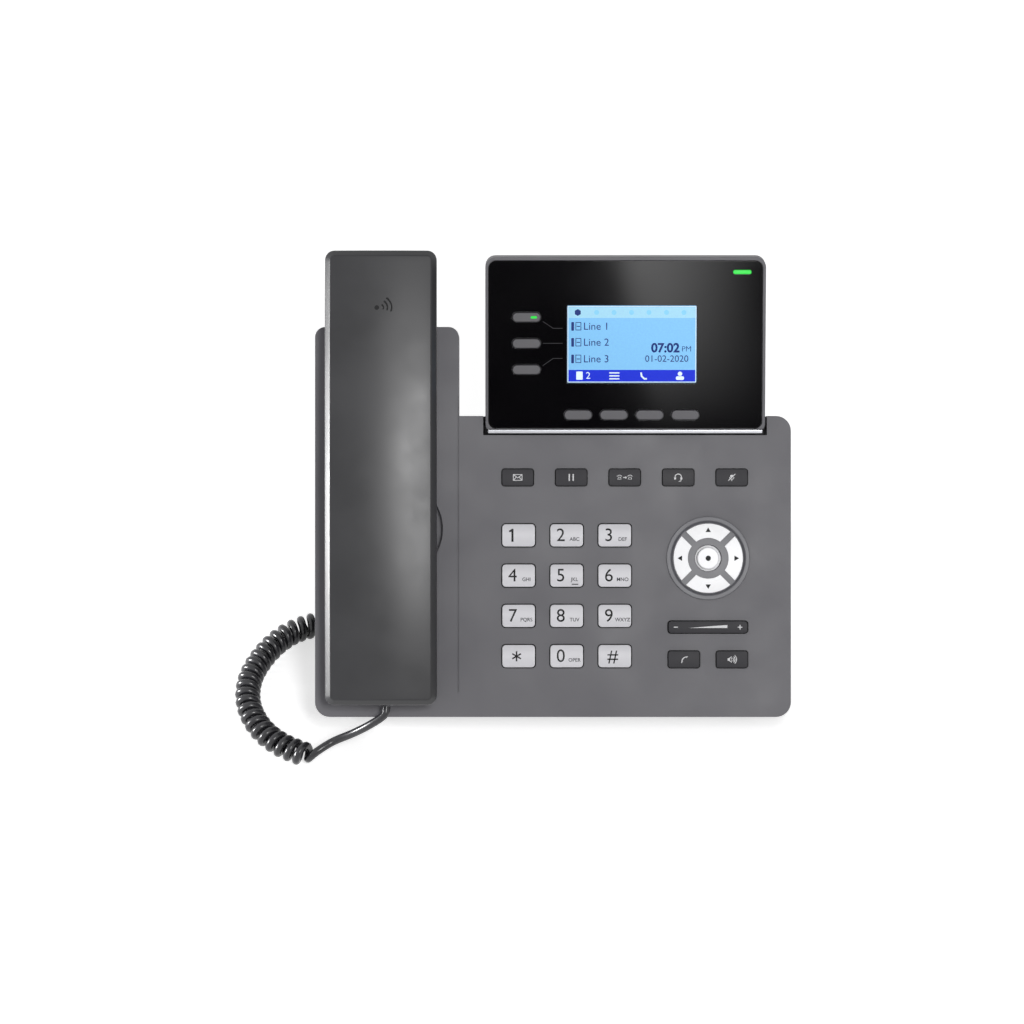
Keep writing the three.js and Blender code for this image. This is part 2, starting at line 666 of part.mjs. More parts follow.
function makeHandset() {
  const size = { width: pad.width, height: pad.length, radius: pad.radius };
  let outside = handsetSolid(0, handset.chamfer);
  let inside = handsetSolid(handset.wall, 0);
  for (const padV of [mouthPadV, earPadV]) {
    outside = outside.add(rectPlate(size, -pad.depth, handset.low + 1, handsetU, padV, 0, 1.5));
    const floor = -pad.depth + handset.wall;
    const ceiling = handset.low + handset.wall + 1;
    inside = inside.add(rectPlate(size, floor, ceiling, handsetU, padV, -handset.wall));
  }
  const shell = outside.subtract(inside);
  const left = handsetU - handset.width;
  const right = handsetU + handset.width;
  const end = handsetEnd + 1;
  const above = block([left, 0, handset.parting], [right, end, handset.middleTop + 10]);
  const below = block([left, 0, -pad.depth - 5], [right, end, handset.parting]);
  add(face, "handset_outer_shell", shell.subtract(below.translate(0, 0, GAP)), DARK, 0.4);

  const plugU = handsetU + handsetPlug.fromCentre;
  const plugReach = plug.width / 2 + plug.jackFit;
  const plugHalf = plug.height / 2 + plug.jackFit;
  let inner = shell.subtract(above);
  const socketLow = [plugU - plugReach, 0, handsetPlug.n - plugHalf];
  inner = inner.subtract(block(socketLow, [plugU + plugReach, 12, handsetPlug.n + plugHalf]));
  for (const offset of [-6, 0, 6]) {
    const low = [handsetU - 7, earPadV + offset - 0.9, -pad.depth - 1];
    inner = inner.subtract(block(low, [handsetU + 7, earPadV + offset + 0.9, -pad.depth + handset.wall + 1]));
  }
  inner = inner.subtract(disc(1.2, -pad.depth - 1, -pad.depth + handset.wall + 1, handsetU, mouthPadV, 12));
  add(face, "handset_inner_shell", inner, DARK, 0.45);

  const seat = -pad.depth + handset.wall + GAP;
  const ear = disc(receiver.radius, seat, seat + receiver.height, handsetU, earPadV);
  add(face, "handset_receiver", ear, BLACK, 0.6);
  const mouth = disc(microphone.radius, seat, seat + microphone.height, handsetU, mouthPadV, 20);
  add(face, "handset_microphone", mouth, BLACK);

  const plugEnd = handsetPlug.v + handsetPlug.length;
  const plugLow = [plugU - plug.width / 2, handsetPlug.v, handsetPlug.n - plug.height / 2];
  const plugHigh = [plugU + plug.width / 2, plugEnd, handsetPlug.n + plug.height / 2];
  add(face, "plug_handset", block(plugLow, plugHigh), 0x2a2a2c, 0.3);
}

// ---------------------------------------------------------------- cradle pieces
function makeCradle() {
  const top = handset.low - GAP;
  const low = top - hook.length;
  const post = rectPlate(hookPost, low, top, handsetU, hookV, 0, 0.5);
  const collarSize = { width: hook.flange, height: hook.flange, radius: 1.5 };
  const collar = rectPlate(collarSize, low, low + hook.flangeHeight, handsetU, hookV);
  add(face, "hook_plunger", post.add(collar), 0x1e1e20, 0.5);

  const seat = -tab.pocket + GAP;
  const round = disc(tab.radius, seat, seat + tab.height, handsetU, tabV, 28);
  const lipV = tabV + tab.radius - 3;
  const lipLow = [handsetU - tab.lip / 2, lipV, seat + tab.height - 0.2];
  const lip = block(lipLow, [handsetU + tab.lip / 2, lipV + tab.lipWidth, handset.low - GAP]);
  add(face, "retention_tab", round.add(lip), DARK, 0.5);
}

// ---------------------------------------------------------------- stand and feet
// The point up the covers' back at v, off it by a distance, in the desk's y and z.
function backPoint(v, off = 0) {
  const n = backN - off;
  const y = v * Math.cos(tilt) - n * Math.sin(tilt);
  return new THREE.Vector2(y, v * Math.sin(tilt) + n * Math.cos(tilt) + faceHeight);
}

// A side view in y and z, pulled out along x between two planes.
function prism(points, left, right) {
  const pulled = { depth: right - left, bevelEnabled: false };
  const geometry = new THREE.ExtrudeGeometry(new THREE.Shape(points), pulled);
  const alongX = new THREE.Vector3(1, 0, 0);
  const alongY = new THREE.Vector3(0, 1, 0);
  const alongZ = new THREE.Vector3(0, 0, 1);
  geometry.translate(0, 0, left).applyMatrix4(new THREE.Matrix4().makeBasis(alongY, alongZ, alongX));
  return solid(geometry);
}

function makeStand() {
  const footTop = feet.height + GAP;
  const footFront = backPoint(standEnd).x + stand.footAhead;
  const footBack = footFront + stand.footDepth;
  const reach = stand.width / 2;
  const corners = [
    new THREE.Vector2(footFront, footTop),
    new THREE.Vector2(footBack, footTop),
    backPoint(standEnd, GAP),
    backPoint(standStart, GAP),
  ];
  let body = prism(corners, -reach, reach);
  const wall = stand.wall;
  const inner = [
    new THREE.Vector2(footFront - 20, footTop + wall),
    new THREE.Vector2(footBack - wall, footTop + wall),
    backPoint(standEnd - wall, GAP + wall),
    backPoint(standStart - 20, GAP + wall),
  ];
  body = body.subtract(prism(inner, -reach + wall, reach - wall));
  const windowLow = [-stand.window / 2, footFront - 10, stand.windowLow];
  body = body.subtract(block(windowLow, [stand.window / 2, footBack + 10, stand.windowHigh]));
  const toDesk = face.matrix;
  const hookBox = (low, high) => {
    const size = high.map((value, axis) => value - low[axis]);
    const centre = high.map((value, axis) => (value + low[axis]) / 2);
    return solid(new THREE.BoxGeometry(...size).translate(...centre), toDesk);
  };
  const lipLow = backN + base.bottomWall + GAP;
  for (const side of [-1, 1]) {
    for (const row of hooks.rows) {
      const left = (side * hooks.spread) / 2 - hooks.width / 2;
      const right = left + hooks.width;
      const start = standStart + row;
      const lipTop = lipLow + hooks.thickness;
      const neck = hookBox([left, start, backN - GAP - 1], [right, start + hooks.neck, lipTop]);
      const lip = hookBox([left, start, lipLow], [right, start + hooks.neck + hooks.lip, lipTop]);
      body = body.add(neck).add(lip);
    }
  }
  add(phone, "stand", body, DARK, 0.6);

  const footReach = reach - feet.inset;
  const footLow = [-footReach, footFront + feet.inset, 0];
  add(phone, "stand_foot", block(footLow, [footReach, footBack - feet.inset, feet.height]), 0x1b1b1d, 0.9);
  const front = backPoint(feet.baseStart, GAP);
  const back = backPoint(feet.baseEnd, GAP);
  const wedge = [front, new THREE.Vector2(front.x, 0), new THREE.Vector2(back.x, 0), back];
  add(phone, "base_foot", prism(wedge, -feet.baseLength / 2, feet.baseLength / 2), 0x1b1b1d, 0.9);
}

// ---------------------------------------------------------------- cord
function tube(points, diameter, steps, sides) {
  const curve = new THREE.CatmullRomCurve3(points.map((point) => new THREE.Vector3(...point)));
  const section = new THREE.Shape();
  for (let side = 0; side < sides; side += 1) {
    const angle = (side / sides) * 2 * Math.PI;
    const method = side ? "lineTo" : "moveTo";
    section[method]((Math.cos(angle) * diameter) / 2, (Math.sin(angle) * diameter) / 2);
  }
  section.closePath();
  return solid(new THREE.ExtrudeGeometry(section, { steps, extrudePath: curve, bevelEnabled: false }));
}

function makeCord() {
  const onDesk = coilRoute.map(([x, y]) => [x, y, cord.coil / 2]);
  add(phone, "cord_coil", tube(onDesk, cord.coil, 36, cord.coilSides), 0x1d1d1f, 0.3);
  add(phone, "cord_lead", tube(leadRoute, cord.wire, 14, cord.sides), 0x1d1d1f, 0.3);
  add(phone, "cord_tail", tube(tailRoute, cord.wire, 18, cord.sides), 0x1d1d1f, 0.3);
  const middle = audioTop - audioJack.height / 2;
  const plugU = audioLeft + audioJack.fromBay + audioJack.width / 2 - audioJack.pitch / 2;
  const plugV = jackV + plug.inserted;
  const low = [plugU - plug.width / 2, plugV - plug.length, middle - plug.height / 2];
  const high = [plugU + plug.width / 2, plugV, middle + plug.height / 2];
  add(face, "plug_base", block(low, high), 0xc8ccd0, 0.2);
}

makeDeckKeys();
makeRocker();
makeTopCover();
makeBottomCover();
makeNavigation();
makeInside();
makeDisplay();
makeCradle();
makeHandset();
makeStand();

// The origin stands under the middle of everything but the cord.
phone.updateMatrixWorld(true);
const extent = new THREE.Box3().setFromObject(phone, true);
phone.position.set(-(extent.min.x + extent.max.x) / 2, -(extent.min.y + extent.max.y) / 2, 0);
makeCord();

export default group;
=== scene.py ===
# %% [markdown]
# # A desk phone with a corded handset, built around its measured frame
#
# The phone is a wedge of two moulded covers. It carries a raised display, a pad of
# rubber-sprung keys and a handset in a cradle. This lesson shapes each visible piece from
# the sizes of the real one and hangs it on the moving body it belongs to. Lengths are
# written in millimetres, because that is how moulded parts are drawn, and Blender works
# in metres, so every helper multiplies by MM.

import math

import bmesh
import bpy
from mathutils import Matrix, Vector


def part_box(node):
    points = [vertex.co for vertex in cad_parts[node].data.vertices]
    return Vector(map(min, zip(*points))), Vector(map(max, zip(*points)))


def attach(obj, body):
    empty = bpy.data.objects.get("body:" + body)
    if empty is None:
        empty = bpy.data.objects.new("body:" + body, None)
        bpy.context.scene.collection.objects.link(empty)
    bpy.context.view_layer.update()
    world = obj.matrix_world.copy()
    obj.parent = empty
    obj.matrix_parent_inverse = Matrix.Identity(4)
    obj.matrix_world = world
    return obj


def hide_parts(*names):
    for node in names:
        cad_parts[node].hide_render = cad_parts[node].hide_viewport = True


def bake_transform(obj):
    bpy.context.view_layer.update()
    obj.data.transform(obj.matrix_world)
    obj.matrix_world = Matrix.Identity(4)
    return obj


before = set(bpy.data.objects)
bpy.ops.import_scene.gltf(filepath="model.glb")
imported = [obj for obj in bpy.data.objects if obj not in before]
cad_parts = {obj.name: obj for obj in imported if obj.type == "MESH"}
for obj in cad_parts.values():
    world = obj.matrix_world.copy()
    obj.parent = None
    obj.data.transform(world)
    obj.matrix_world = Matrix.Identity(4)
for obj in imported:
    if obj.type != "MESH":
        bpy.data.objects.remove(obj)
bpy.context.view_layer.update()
MM = 0.001

# %% [markdown]
# ## Two drawing boards
#
# The face leans back 42 degrees from the desk, and the display 9 degrees more. Drawing
# tilted pieces in place is hard, so each piece is modelled flat: u runs to the right, v up
# the face and n out of it. One matrix then lays it on the face, and another on the display.

# %% The two boards
FACE = (
    Matrix.Translation((0, -72.875 * MM, 21.3218 * MM))
    @ Matrix.Rotation(math.radians(42), 4, "X")
)
DISPLAY = (
    FACE
    @ Matrix.Translation((31.5 * MM, 123.7 * MM, 4 * MM))
    @ Matrix.Rotation(math.radians(9), 4, "X")
)
DESK = Matrix.Identity(4)
facing = (FACE.to_3x3() @ Vector((0, 0, 1))).normalized()
print("the face looks along", [round(x, 3) for x in facing])

# %% [markdown]
# ## Small helpers
#
# Blender's operators act on whatever is selected, and the loaded frame comes in selected,
# so every step starts by selecting nothing. Edges and faces are picked in code by where
# they are, which does by rule what a hand would do with a click.

# %% Selecting and applying


def select_only(*pieces):
    """Select these objects alone; the first is active."""
    if bpy.context.object and bpy.context.object.mode != "OBJECT":
        bpy.ops.object.mode_set(mode="OBJECT")
    bpy.ops.object.select_all(action="DESELECT")
    for piece in pieces:
        piece.select_set(True)
    if pieces:
        bpy.context.view_layer.objects.active = pieces[0]


def pick(piece, kind, wanted):
    """Enter edit mode and select the edges or faces for which wanted(element) holds."""
    select_only(piece)
    bpy.ops.object.mode_set(mode="EDIT")
    bpy.ops.mesh.select_mode(type="EDGE" if kind == "edges" else "FACE")
    bpy.ops.mesh.select_all(action="DESELECT")
    mesh = bmesh.from_edit_mesh(piece.data)
    for element in getattr(mesh, kind):
        if wanted(element):
            element.select_set(True)
    mesh.select_flush_mode()
    bmesh.update_edit_mesh(piece.data)


def leave_edit():
    bpy.ops.object.mode_set(mode="OBJECT")


def apply_modifier(piece, kind, **settings):
    """Add one modifier, set it and apply it at once."""
    select_only(piece)
    modifier = piece.modifiers.new(kind.title(), kind)
    for name, value in settings.items():
        setattr(modifier, name, value)
    bpy.ops.object.modifier_apply(modifier=modifier.name)
    return piece


# %% Cutting, joining and rounding


def combine(piece, other, operation):
    """Boolean: cut other out of piece, or weld it on. The other object is used up."""
    apply_modifier(piece, "BOOLEAN", object=other, operation=operation, solver="EXACT")
    bpy.data.objects.remove(other)
    return piece


def cut(piece, *tools):
    for tool in tools:
        combine(piece, tool, "DIFFERENCE")
    return piece


def weld(piece, *others):
    for other in others:
        combine(piece, other, "UNION")
    return piece


def together(*pieces):
    """Join pieces that don't need one skin, such as printing on a key."""
    select_only(*pieces)
    bpy.ops.object.join()
    return pieces[0]


def soften(piece, width, segments=3, angle=35):
    """Round every edge sharper than the angle, as a mould's worn corners are."""
    pick(piece, "faces", lambda face: True)
    bpy.ops.mesh.remove_doubles(threshold=0.004 * MM)
    bpy.ops.mesh.dissolve_degenerate(threshold=0.004 * MM)
    leave_edit()
    apply_modifier(
        piece,
        "BEVEL",
        width=width * MM,
        segments=segments,
        limit_method="ANGLE",
        angle_limit=math.radians(angle),
        harden_normals=False,
        miter_outer="MITER_ARC",
    )
    return smooth(piece)


def smooth(piece, angle=40):
    select_only(piece)
    bpy.ops.object.shade_smooth_by_angle(angle=math.radians(angle))
    return piece


# %% Plates and discs


def plate(u, v, n, corner=0.0, steps=6):
    """A plate between the u, v and n limits, with its upright edges rounded."""
    size = [(high - low) * MM for low, high in (u, v, n)]
    middle = [(high + low) / 2 * MM for low, high in (u, v, n)]
    select_only()
    bpy.ops.mesh.primitive_cube_add(size=1, location=middle)
    piece = bpy.context.object
    bpy.ops.transform.resize(value=size)
    bpy.ops.object.transform_apply(location=True, rotation=True, scale=True)
    if corner:
        pick(piece, "edges", lambda e: abs(e.verts[0].co.z - e.verts[1].co.z) > 0.5 * size[2])
        bpy.ops.mesh.bevel(offset=corner * MM, segments=steps, affect="EDGES")
        leave_edit()
    return piece


def disc(centre, radius, n, sides=64, top_radius=None):
    """A round plate about a centre (u, v), or a cone when the top is another size."""
    select_only()
    bpy.ops.mesh.primitive_cone_add(
        vertices=sides,
        radius1=radius * MM,
        radius2=(radius if top_radius is None else top_radius) * MM,
        depth=(n[1] - n[0]) * MM,
        location=(centre[0] * MM, centre[1] * MM, (n[0] + n[1]) / 2 * MM),
    )
    bpy.ops.object.transform_apply(location=True, rotation=True, scale=True)
    return bpy.context.object


def shift(piece, by):
    """Move a piece's mesh by (u, v, n)."""
    select_only(piece)
    bpy.ops.transform.translate(value=[x * MM for x in by])
    bpy.ops.object.transform_apply(location=True, rotation=True, scale=True)
    return piece


def copied(piece, by=(0, 0, 0)):
    """A copy with its own mesh, moved by (u, v, n)."""
    select_only(piece)
    bpy.ops.object.duplicate()
    return shift(bpy.context.object, by)


# %% [markdown]
# ## Placing a finished piece
#
# A finished piece keeps its object at the origin and its place in its mesh, like the frame's
# own nodes. Placing applies the board's matrix, names the piece, hangs it on the body that
# carries it and hides the nodes of the frame that it stands for.

# %% Placing


def place(piece, name, body, board, stands_for=()):
    """Lay a flat-drawn piece on its board and hang it on its body. Weighted normals keep
    its large faces looking flat beside the small rounded ones."""
    select_only(piece)
    piece.data.transform(board)
    piece.data.update()
    apply_modifier(piece, "WEIGHTED_NORMAL", keep_sharp=True, weight=100)
    piece.name = piece.data.name = name
    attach(piece, body)
    if stands_for:
        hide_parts(*stands_for)
    print(name, len(piece.data.polygons), "faces on", body)
    return piece


def wear(piece, *materials):
    piece.data.materials.clear()
    for material in materials:
        piece.data.materials.append(material)
    return piece


# %% [markdown]
# ## Materials
#
# Colours are written as sRGB hex values, as a colour card gives them, and one function turns
# them to the linear values a shader adds up. Another small function adds a node with its
# settings and links, so that each material reads as a short list of what it is made of. Every
# pattern runs on Object coordinates, in metres, so its scale is one over a real size.

# %% Colour and nodes


def srgb(code):
    parts = [int(code[i : i + 2], 16) / 255 for i in (1, 3, 5)]
    linear = [c / 12.92 if c <= 0.04045 else ((c + 0.055) / 1.055) ** 2.4 for c in parts]
    return (*linear, 1.0)


def link(tree, node, links):
    """Wire sources into a node's sockets; a node given as a source means its first output."""
    for socket, source in links.items():
        tree.links.new(node.inputs[socket], getattr(source, "outputs", [source])[0])


def add(tree, kind, settings=(), links=()):
    """One node, with its settings by property or socket and its links as socket: source."""
    node = tree.nodes.new(kind)
    for name, value in dict(settings).items():
        if isinstance(name, int) or name in node.inputs:
            node.inputs[name].default_value = value
        else:
            setattr(node, name, value)
    link(tree, node, dict(links))
    return node


def blank_material(name):
    material = bpy.data.materials.new(name)
    material.use_nodes = True
    tree = material.node_tree
    shader = tree.nodes["Principled BSDF"]
    return material, tree, shader


# %% [markdown]
# ## Moulded plastic
#
# Nearly every piece is injection-moulded ABS. Its tool was spark-eroded, which leaves a fine
# even grain that scatters light, so the surface looks satin and not glossy. Handling polishes
# it a little in soft patches, and the pigment drifts very slightly. The real grain is about
# 0.1 mm, too fine to show, so it is drawn at 0.35 mm and shallow.

# %% Moulded ABS
GRAIN = 0.35


def moulded_plastic(name, colour, darker, roughness=0.5, depth=0.012, ior=1.5):
    material, tree, shader = blank_material(name)
    where = add(tree, "ShaderNodeTexCoord").outputs["Object"]
    patches = add(
        tree, "ShaderNodeTexNoise", {"Scale": 1 / (28 * MM), "Detail": 3.0}, {"Vector": where}
    )
    drift = add(
        tree, "ShaderNodeMapRange", {"From Min": 0.35, "From Max": 0.62}, {"Value": patches}
    )
    shades = {"data_type": "RGBA", 6: srgb(darker), 7: srgb(colour)}
    tint = add(tree, "ShaderNodeMix", shades, {0: drift})
    worn = {"From Min": 0.3, "From Max": 0.7, "To Min": roughness - 0.05, "To Max": roughness + 0.06}
    polish = add(tree, "ShaderNodeMapRange", worn, {"Value": patches})
    grit = add(
        tree, "ShaderNodeTexNoise", {"Scale": 1 / (GRAIN * MM), "Detail": 2.0}, {"Vector": where}
    )
    bump = add(
        tree, "ShaderNodeBump", {"Strength": 0.35, "Distance": depth * MM}, {"Height": grit}
    )
    link(tree, shader, {"Base Color": tint.outputs[2], "Roughness": polish, "Normal": bump})
    shader.inputs["IOR"].default_value = ior
    return material


# The covers keep the tool's grain and look dry; the handset's tool is finer, so it shines more.
deck_abs = moulded_plastic("satin grey ABS deck", "#636267", "#5f5e63", 0.48)
back_abs = moulded_plastic("satin charcoal ABS back", "#3d3c40", "#38373b", 0.55)
handset_abs = moulded_plastic("satin charcoal ABS handset", "#262629", "#212124", 0.33, depth=0.006)
# Key caps are lacquered over their print, which smooths the grain to a soft sheen.
pale_key_rubber = moulded_plastic(
    "lacquered pale grey key", "#f3f2f7", "#edecf1", 0.45, depth=0.004
)
dark_key_abs = moulded_plastic(
    "satin black key cap", "#2b2a2f", "#262529", 0.55, depth=0.006, ior=1.4
)
grey_key_abs = moulded_plastic("grey display key cap", "#5b5a5e", "#56555a", 0.45, depth=0.006)
white_key_abs = moulded_plastic("gloss white key cap", "#fafafc", "#f5f5f8", 0.3, depth=0.003)
# The ring is bare ABS like the deck, and the sockets are matt so that their mouths read dark.
# The same matt black is also laid on the keys' flanges as painted shade, so the gaps round the keys
# read dark.
bezel_abs = moulded_plastic("grey ABS ring", "#6d6d72", "#68686d", 0.42)
black_abs_and_gap_shade = moulded_plastic("matt black ABS socket and painted gap shade", "#151517", "#101012", 0.6)
print("materials:", len(bpy.data.materials))

# %% [markdown]
# ## The camera
#
# The phone is seen square on: the camera looks straight at the tilted face from 2.5 metres
# with a long lens, so its keys stay rectangles and the display shows a little of its slope.
# The camera's own up is the way the face runs.

# %% Camera
look_at = FACE @ Vector((-17.9 * MM, 89.6 * MM, 0))
select_only()
bpy.ops.object.camera_add(location=look_at + facing * 2.5)
camera = bpy.context.object
camera.data.lens = 201.1
camera.data.sensor_width = 36
camera.data.clip_end = 20
camera.rotation_euler = FACE.to_euler()
bpy.context.scene.camera = camera
print("camera at", [round(x, 3) for x in camera.location])

# %% [markdown]
# ## Floor, sky and lamps
#
# A product table is a pale sheet under broad soft light. The floor is plain white and takes
# the phone's shadow; what the camera sees of it beyond the shadow is topped up to white, with
# Is Camera Ray, instead of by brighter lamps that would wash the phone out. The sky is seen
# as white by the camera, by gloss and by clear plastic, and lights the phone at a plain level.

# %% Floor and sky
FLOOR_TOP_UP = 0.62
SKY_LEVEL = 0.25
select_only()
bpy.ops.mesh.primitive_plane_add(size=12, location=(0, 0, -0.0004))
floor = bpy.context.object
floor.name = "studio_floor"
white_sheet, tree, shader = blank_material("white studio floor")
tree.nodes.remove(shader)
matt = add(tree, "ShaderNodeBsdfDiffuse", {"Color": srgb("#f4f4f4")})
glow = add(tree, "ShaderNodeEmission", {"Strength": FLOOR_TOP_UP})
ray = add(tree, "ShaderNodeLightPath").outputs
seen = add(
    tree,
    "ShaderNodeMath",
    {"operation": "MAXIMUM"},
    {0: ray["Is Camera Ray"], 1: ray["Is Glossy Ray"]},
)
nothing = add(tree, "ShaderNodeEmission", {"Strength": 0.0})
topped = add(tree, "ShaderNodeMixShader", {}, {0: seen, 1: nothing, 2: glow})
both = add(tree, "ShaderNodeAddShader", {}, {0: matt, 1: topped})
link(tree, tree.nodes["Material Output"], {0: both})
wear(floor, white_sheet)

sky = bpy.data.worlds.new("soft white studio")
sky.use_nodes = True
bpy.context.scene.world = sky
tree = sky.node_tree
ray = add(tree, "ShaderNodeLightPath").outputs
seen = add(
    tree,
    "ShaderNodeMath",
    {"operation": "MAXIMUM"},
    {0: ray["Is Camera Ray"], 1: ray["Is Glossy Ray"]},
)
clear = add(
    tree, "ShaderNodeMath", {"operation": "MAXIMUM"}, {0: seen, 1: ray["Is Transmission Ray"]}
)
level = add(tree, "ShaderNodeMapRange", {"To Min": SKY_LEVEL, "To Max": 1.0}, {"Value": clear})
link(tree, tree.nodes["Background"], {"Strength": level})
tree.nodes["Background"].inputs["Color"].default_value = (1, 1, 1, 1)
bpy.context.scene.view_settings.view_transform = "Standard"
print("floor and sky are set")

# %% [markdown]
# ## Lamps
#
# Under the sky's even light two lamps do the drawing. A strip lies low at the left and draws
# the bright line along the handset's chamfer. A tall box hangs beside the camera: it is the
# main light, and it makes the broad sheen on the handset's crown.

# %% Lamps


def soft_box(name, aim, direction, distance, width, height, strength):
    """A rectangular lamp at a distance in metres along a (u, v, n) direction from the aim."""
    middle = FACE @ Vector([x * MM for x in aim])
    way = (FACE.to_3x3() @ Vector(direction)).normalized()
    select_only()
    bpy.ops.object.light_add(type="AREA", location=middle + way * distance)
    lamp = bpy.context.object
    lamp.name = name
    lamp.data.shape = "RECTANGLE"
    lamp.data.size = width
    lamp.data.size_y = height
    lamp.data.energy = strength
    lamp.visible_camera = False
    lamp.rotation_euler = (-way).to_track_quat("-Z", "Y").to_euler()
    return lamp


lamps = [
    soft_box("left_strip", (-99, 104, 20), (-1.0, 0.0, 0.05), 1.0, 0.2, 0.3, 19.0),
    soft_box("handset_box", (-62, 116, 24), (0.185, 0.0, 1.0), 1.1, 0.18, 0.34, 4.9),
]
print("lamps:", [lamp.name for lamp in lamps])

# %% [markdown]
# ## A dark flag for the glossy display
#
# Polished black plastic shows whatever stands in its mirror direction. On the table that is
# the dark room in front, with one slanted edge of a bright panel. A black card stands there,
# hidden from the camera, with a grey patch whose left edge slants, so that the panel reads
# black with a slanting sheen. It also screens the panel from the lamp that hangs behind it.

# %% Flag
CARD_OFF = 0.9877
LEAN = 0.191
EDGE = (17.7 - 34.3 * LEAN) * MM
card_corners = ((-110, -190), (150, -190), (-110, 10), (150, 10))
select_only()
bpy.ops.mesh.primitive_plane_add(size=1)
flag = bpy.context.object
flag.name = "dark_flag"
for corner, (x, y) in zip(flag.data.vertices, card_corners):
    corner.co = (x * MM, y * MM, CARD_OFF)
flag.matrix_world = DISPLAY
card, tree, shader = blank_material("black card with a grey patch")
tree.nodes.remove(shader)
where = add(tree, "ShaderNodeTexCoord").outputs["Object"]
along = add(tree, "ShaderNodeSeparateXYZ", {}, {"Vector": where}).outputs
slant = add(
    tree,
    "ShaderNodeMath",
    {"operation": "MULTIPLY_ADD", 1: LEAN},
    {0: along["Y"], 2: along["X"]},
)
sharp = {"From Min": EDGE - 0.4 * MM, "From Max": EDGE + 0.4 * MM}
edge = add(tree, "ShaderNodeMapRange", sharp, {"Value": slant})
fading = {"From Min": EDGE, "From Max": EDGE + 80 * MM, "To Min": 3.6, "To Max": 0.0}
fade = add(tree, "ShaderNodeMapRange", fading, {"Value": slant})
sinking = {"From Min": -142 * MM, "From Max": -45 * MM, "To Min": 0.0, "To Max": 1.0}
lower = add(tree, "ShaderNodeMapRange", sinking, {"Value": along["Y"]})
grey_patch = add(tree, "ShaderNodeMath", {"operation": "MULTIPLY"}, {0: edge, 1: fade})
dimmed = add(tree, "ShaderNodeMath", {"operation": "MULTIPLY"}, {0: grey_patch, 1: lower})
shine = add(tree, "ShaderNodeEmission", {}, {"Strength": dimmed})
link(tree, tree.nodes["Material Output"], {0: shine})
wear(flag, card)
flag.visible_camera = False
flag.visible_diffuse = False
flag.visible_transmission = False
print("the flag stands", round(CARD_OFF, 2), "m off the display")

# %% [markdown]
# ## The cord
#
# A handset cord is a PVC-jacketed wire wound hot on a rod, so that it springs back into
# close turns. It leaves the handset's lower end, drops to the desk beside the phone, runs
# round behind it as a coil and rises into its socket in the back. It is one wire from plug
# to plug, so one path is worked out for all of it: a straight lead, a helix about the coil's
# route with sixteen points to a turn, and a straight tail.

# %% Routes, in millimetres, on the desk's own board
DESK_SHIFT = -72.875
WIRE = 3.6
COIL_RADIUS = 3.95
TURN_PITCH = 4.35
lead_route = [
    (-72.6, -1.7, 30.5),
    (-73.6, -4.5, 28.0),
    (-80.0, -5.6, 22.6),
    (-87.6, -4.6, 15.6),
    (-95.0, -4.8, 11.2),
    (-100.6, -7.6, 9.9),
    (-104.1, -10.7, 9.7),
]
coil_route = [
    (-105.8, -9.8),
    (-119.3, -2.7),
    (-128.9, 7.3),
    (-134.2, 20.8),
    (-133.7, 35.5),
    (-127.2, 50.2),
    (-117.1, 61.4),
    (-104, 67.3),
    (-90, 70),
    (-76, 74),
    (-66.5, 84),
    (-64, 98),
    (-65, 114),
    (-73, 126.5),
    (-86, 128),
    (-95, 119),
    (-97, 107),
    (-97, 98),
]
COIL_HEIGHT = 5.75
tail_route = [
    (-87, 74.7, 63.6),
    (-87.1, 69.6, 58.8),
    (-87.5, 66.4, 51.5),
    (-88.6, 66.8, 41),
    (-90.6, 72, 28.5),
    (-94, 81.5, 16.5),
    (-96.6, 90.5, 10.6),
    (-97, 97.7, 9.7),
]


# %% A smooth line through the points


def through(points, pieces=8):
    """A Catmull-Rom line through the points, with this many steps between two of them."""
    ends = [Vector(points[0]) * 2 - Vector(points[1])]
    ends += [Vector(p) for p in points]
    ends += [Vector(points[-1]) * 2 - Vector(points[-2])]
    line = []
    for a, b, c, d in zip(ends, ends[1:], ends[2:], ends[3:]):
        for i in range(pieces):
            t = i / pieces
            line.append(
                0.5 * (2 * b + (c - a) * t + (2 * a - 5 * b + 4 * c - d) * t**2
                       + (3 * b - a - 3 * c + d) * t**3)
            )
    line.append(ends[-2].copy())
    return line


def length_of(line):
    return sum((b - a).length for a, b in zip(line, line[1:]))


def evenly(line, count):
    """The same line cut into equal steps."""
    step = length_of(line) / count
    walked = 0.0
    target = 0.0
    out = []
    for a, b in zip(line, line[1:]):
        span = (b - a).length
        while target <= walked + span + 1e-9 and len(out) <= count:
            out.append(a.lerp(b, (target - walked) / span if span else 0))
            target += step
        walked += span
    if len(out) <= count:
        out.append(line[-1].copy())
    return out


# %% The helix, and one path from plug to plug
POINTS_A_TURN = 16
SMOOTHINGS = 24
JOIN_REACH = 7
LEAST_STEP = 0.4
coil_line = through([(x, y, COIL_HEIGHT) for x, y in coil_route], 12)
turns = round(length_of(coil_line) / TURN_PITCH)
centres = evenly(coil_line, turns * POINTS_A_TURN)
helix = []
for i, centre in enumerate(centres):
    ahead = centres[min(i + 3, len(centres) - 1)] - centres[max(i - 3, 0)]
    side = ahead.cross(Vector((0, 0, 1))).normalized()
    angle = math.pi / 2 + 2 * math.pi * i / POINTS_A_TURN
    spoke = side * math.cos(angle) + Vector((0, 0, 1)) * math.sin(angle)
    helix.append(centre + spoke * COIL_RADIUS)
lead = through(lead_route, 5)
tail = through(tail_route[::-1], 5)
cord_path = lead[:-1] + helix[1:-1] + tail[1:]
joins = (len(lead) - 1, len(lead) + len(helix) - 4)
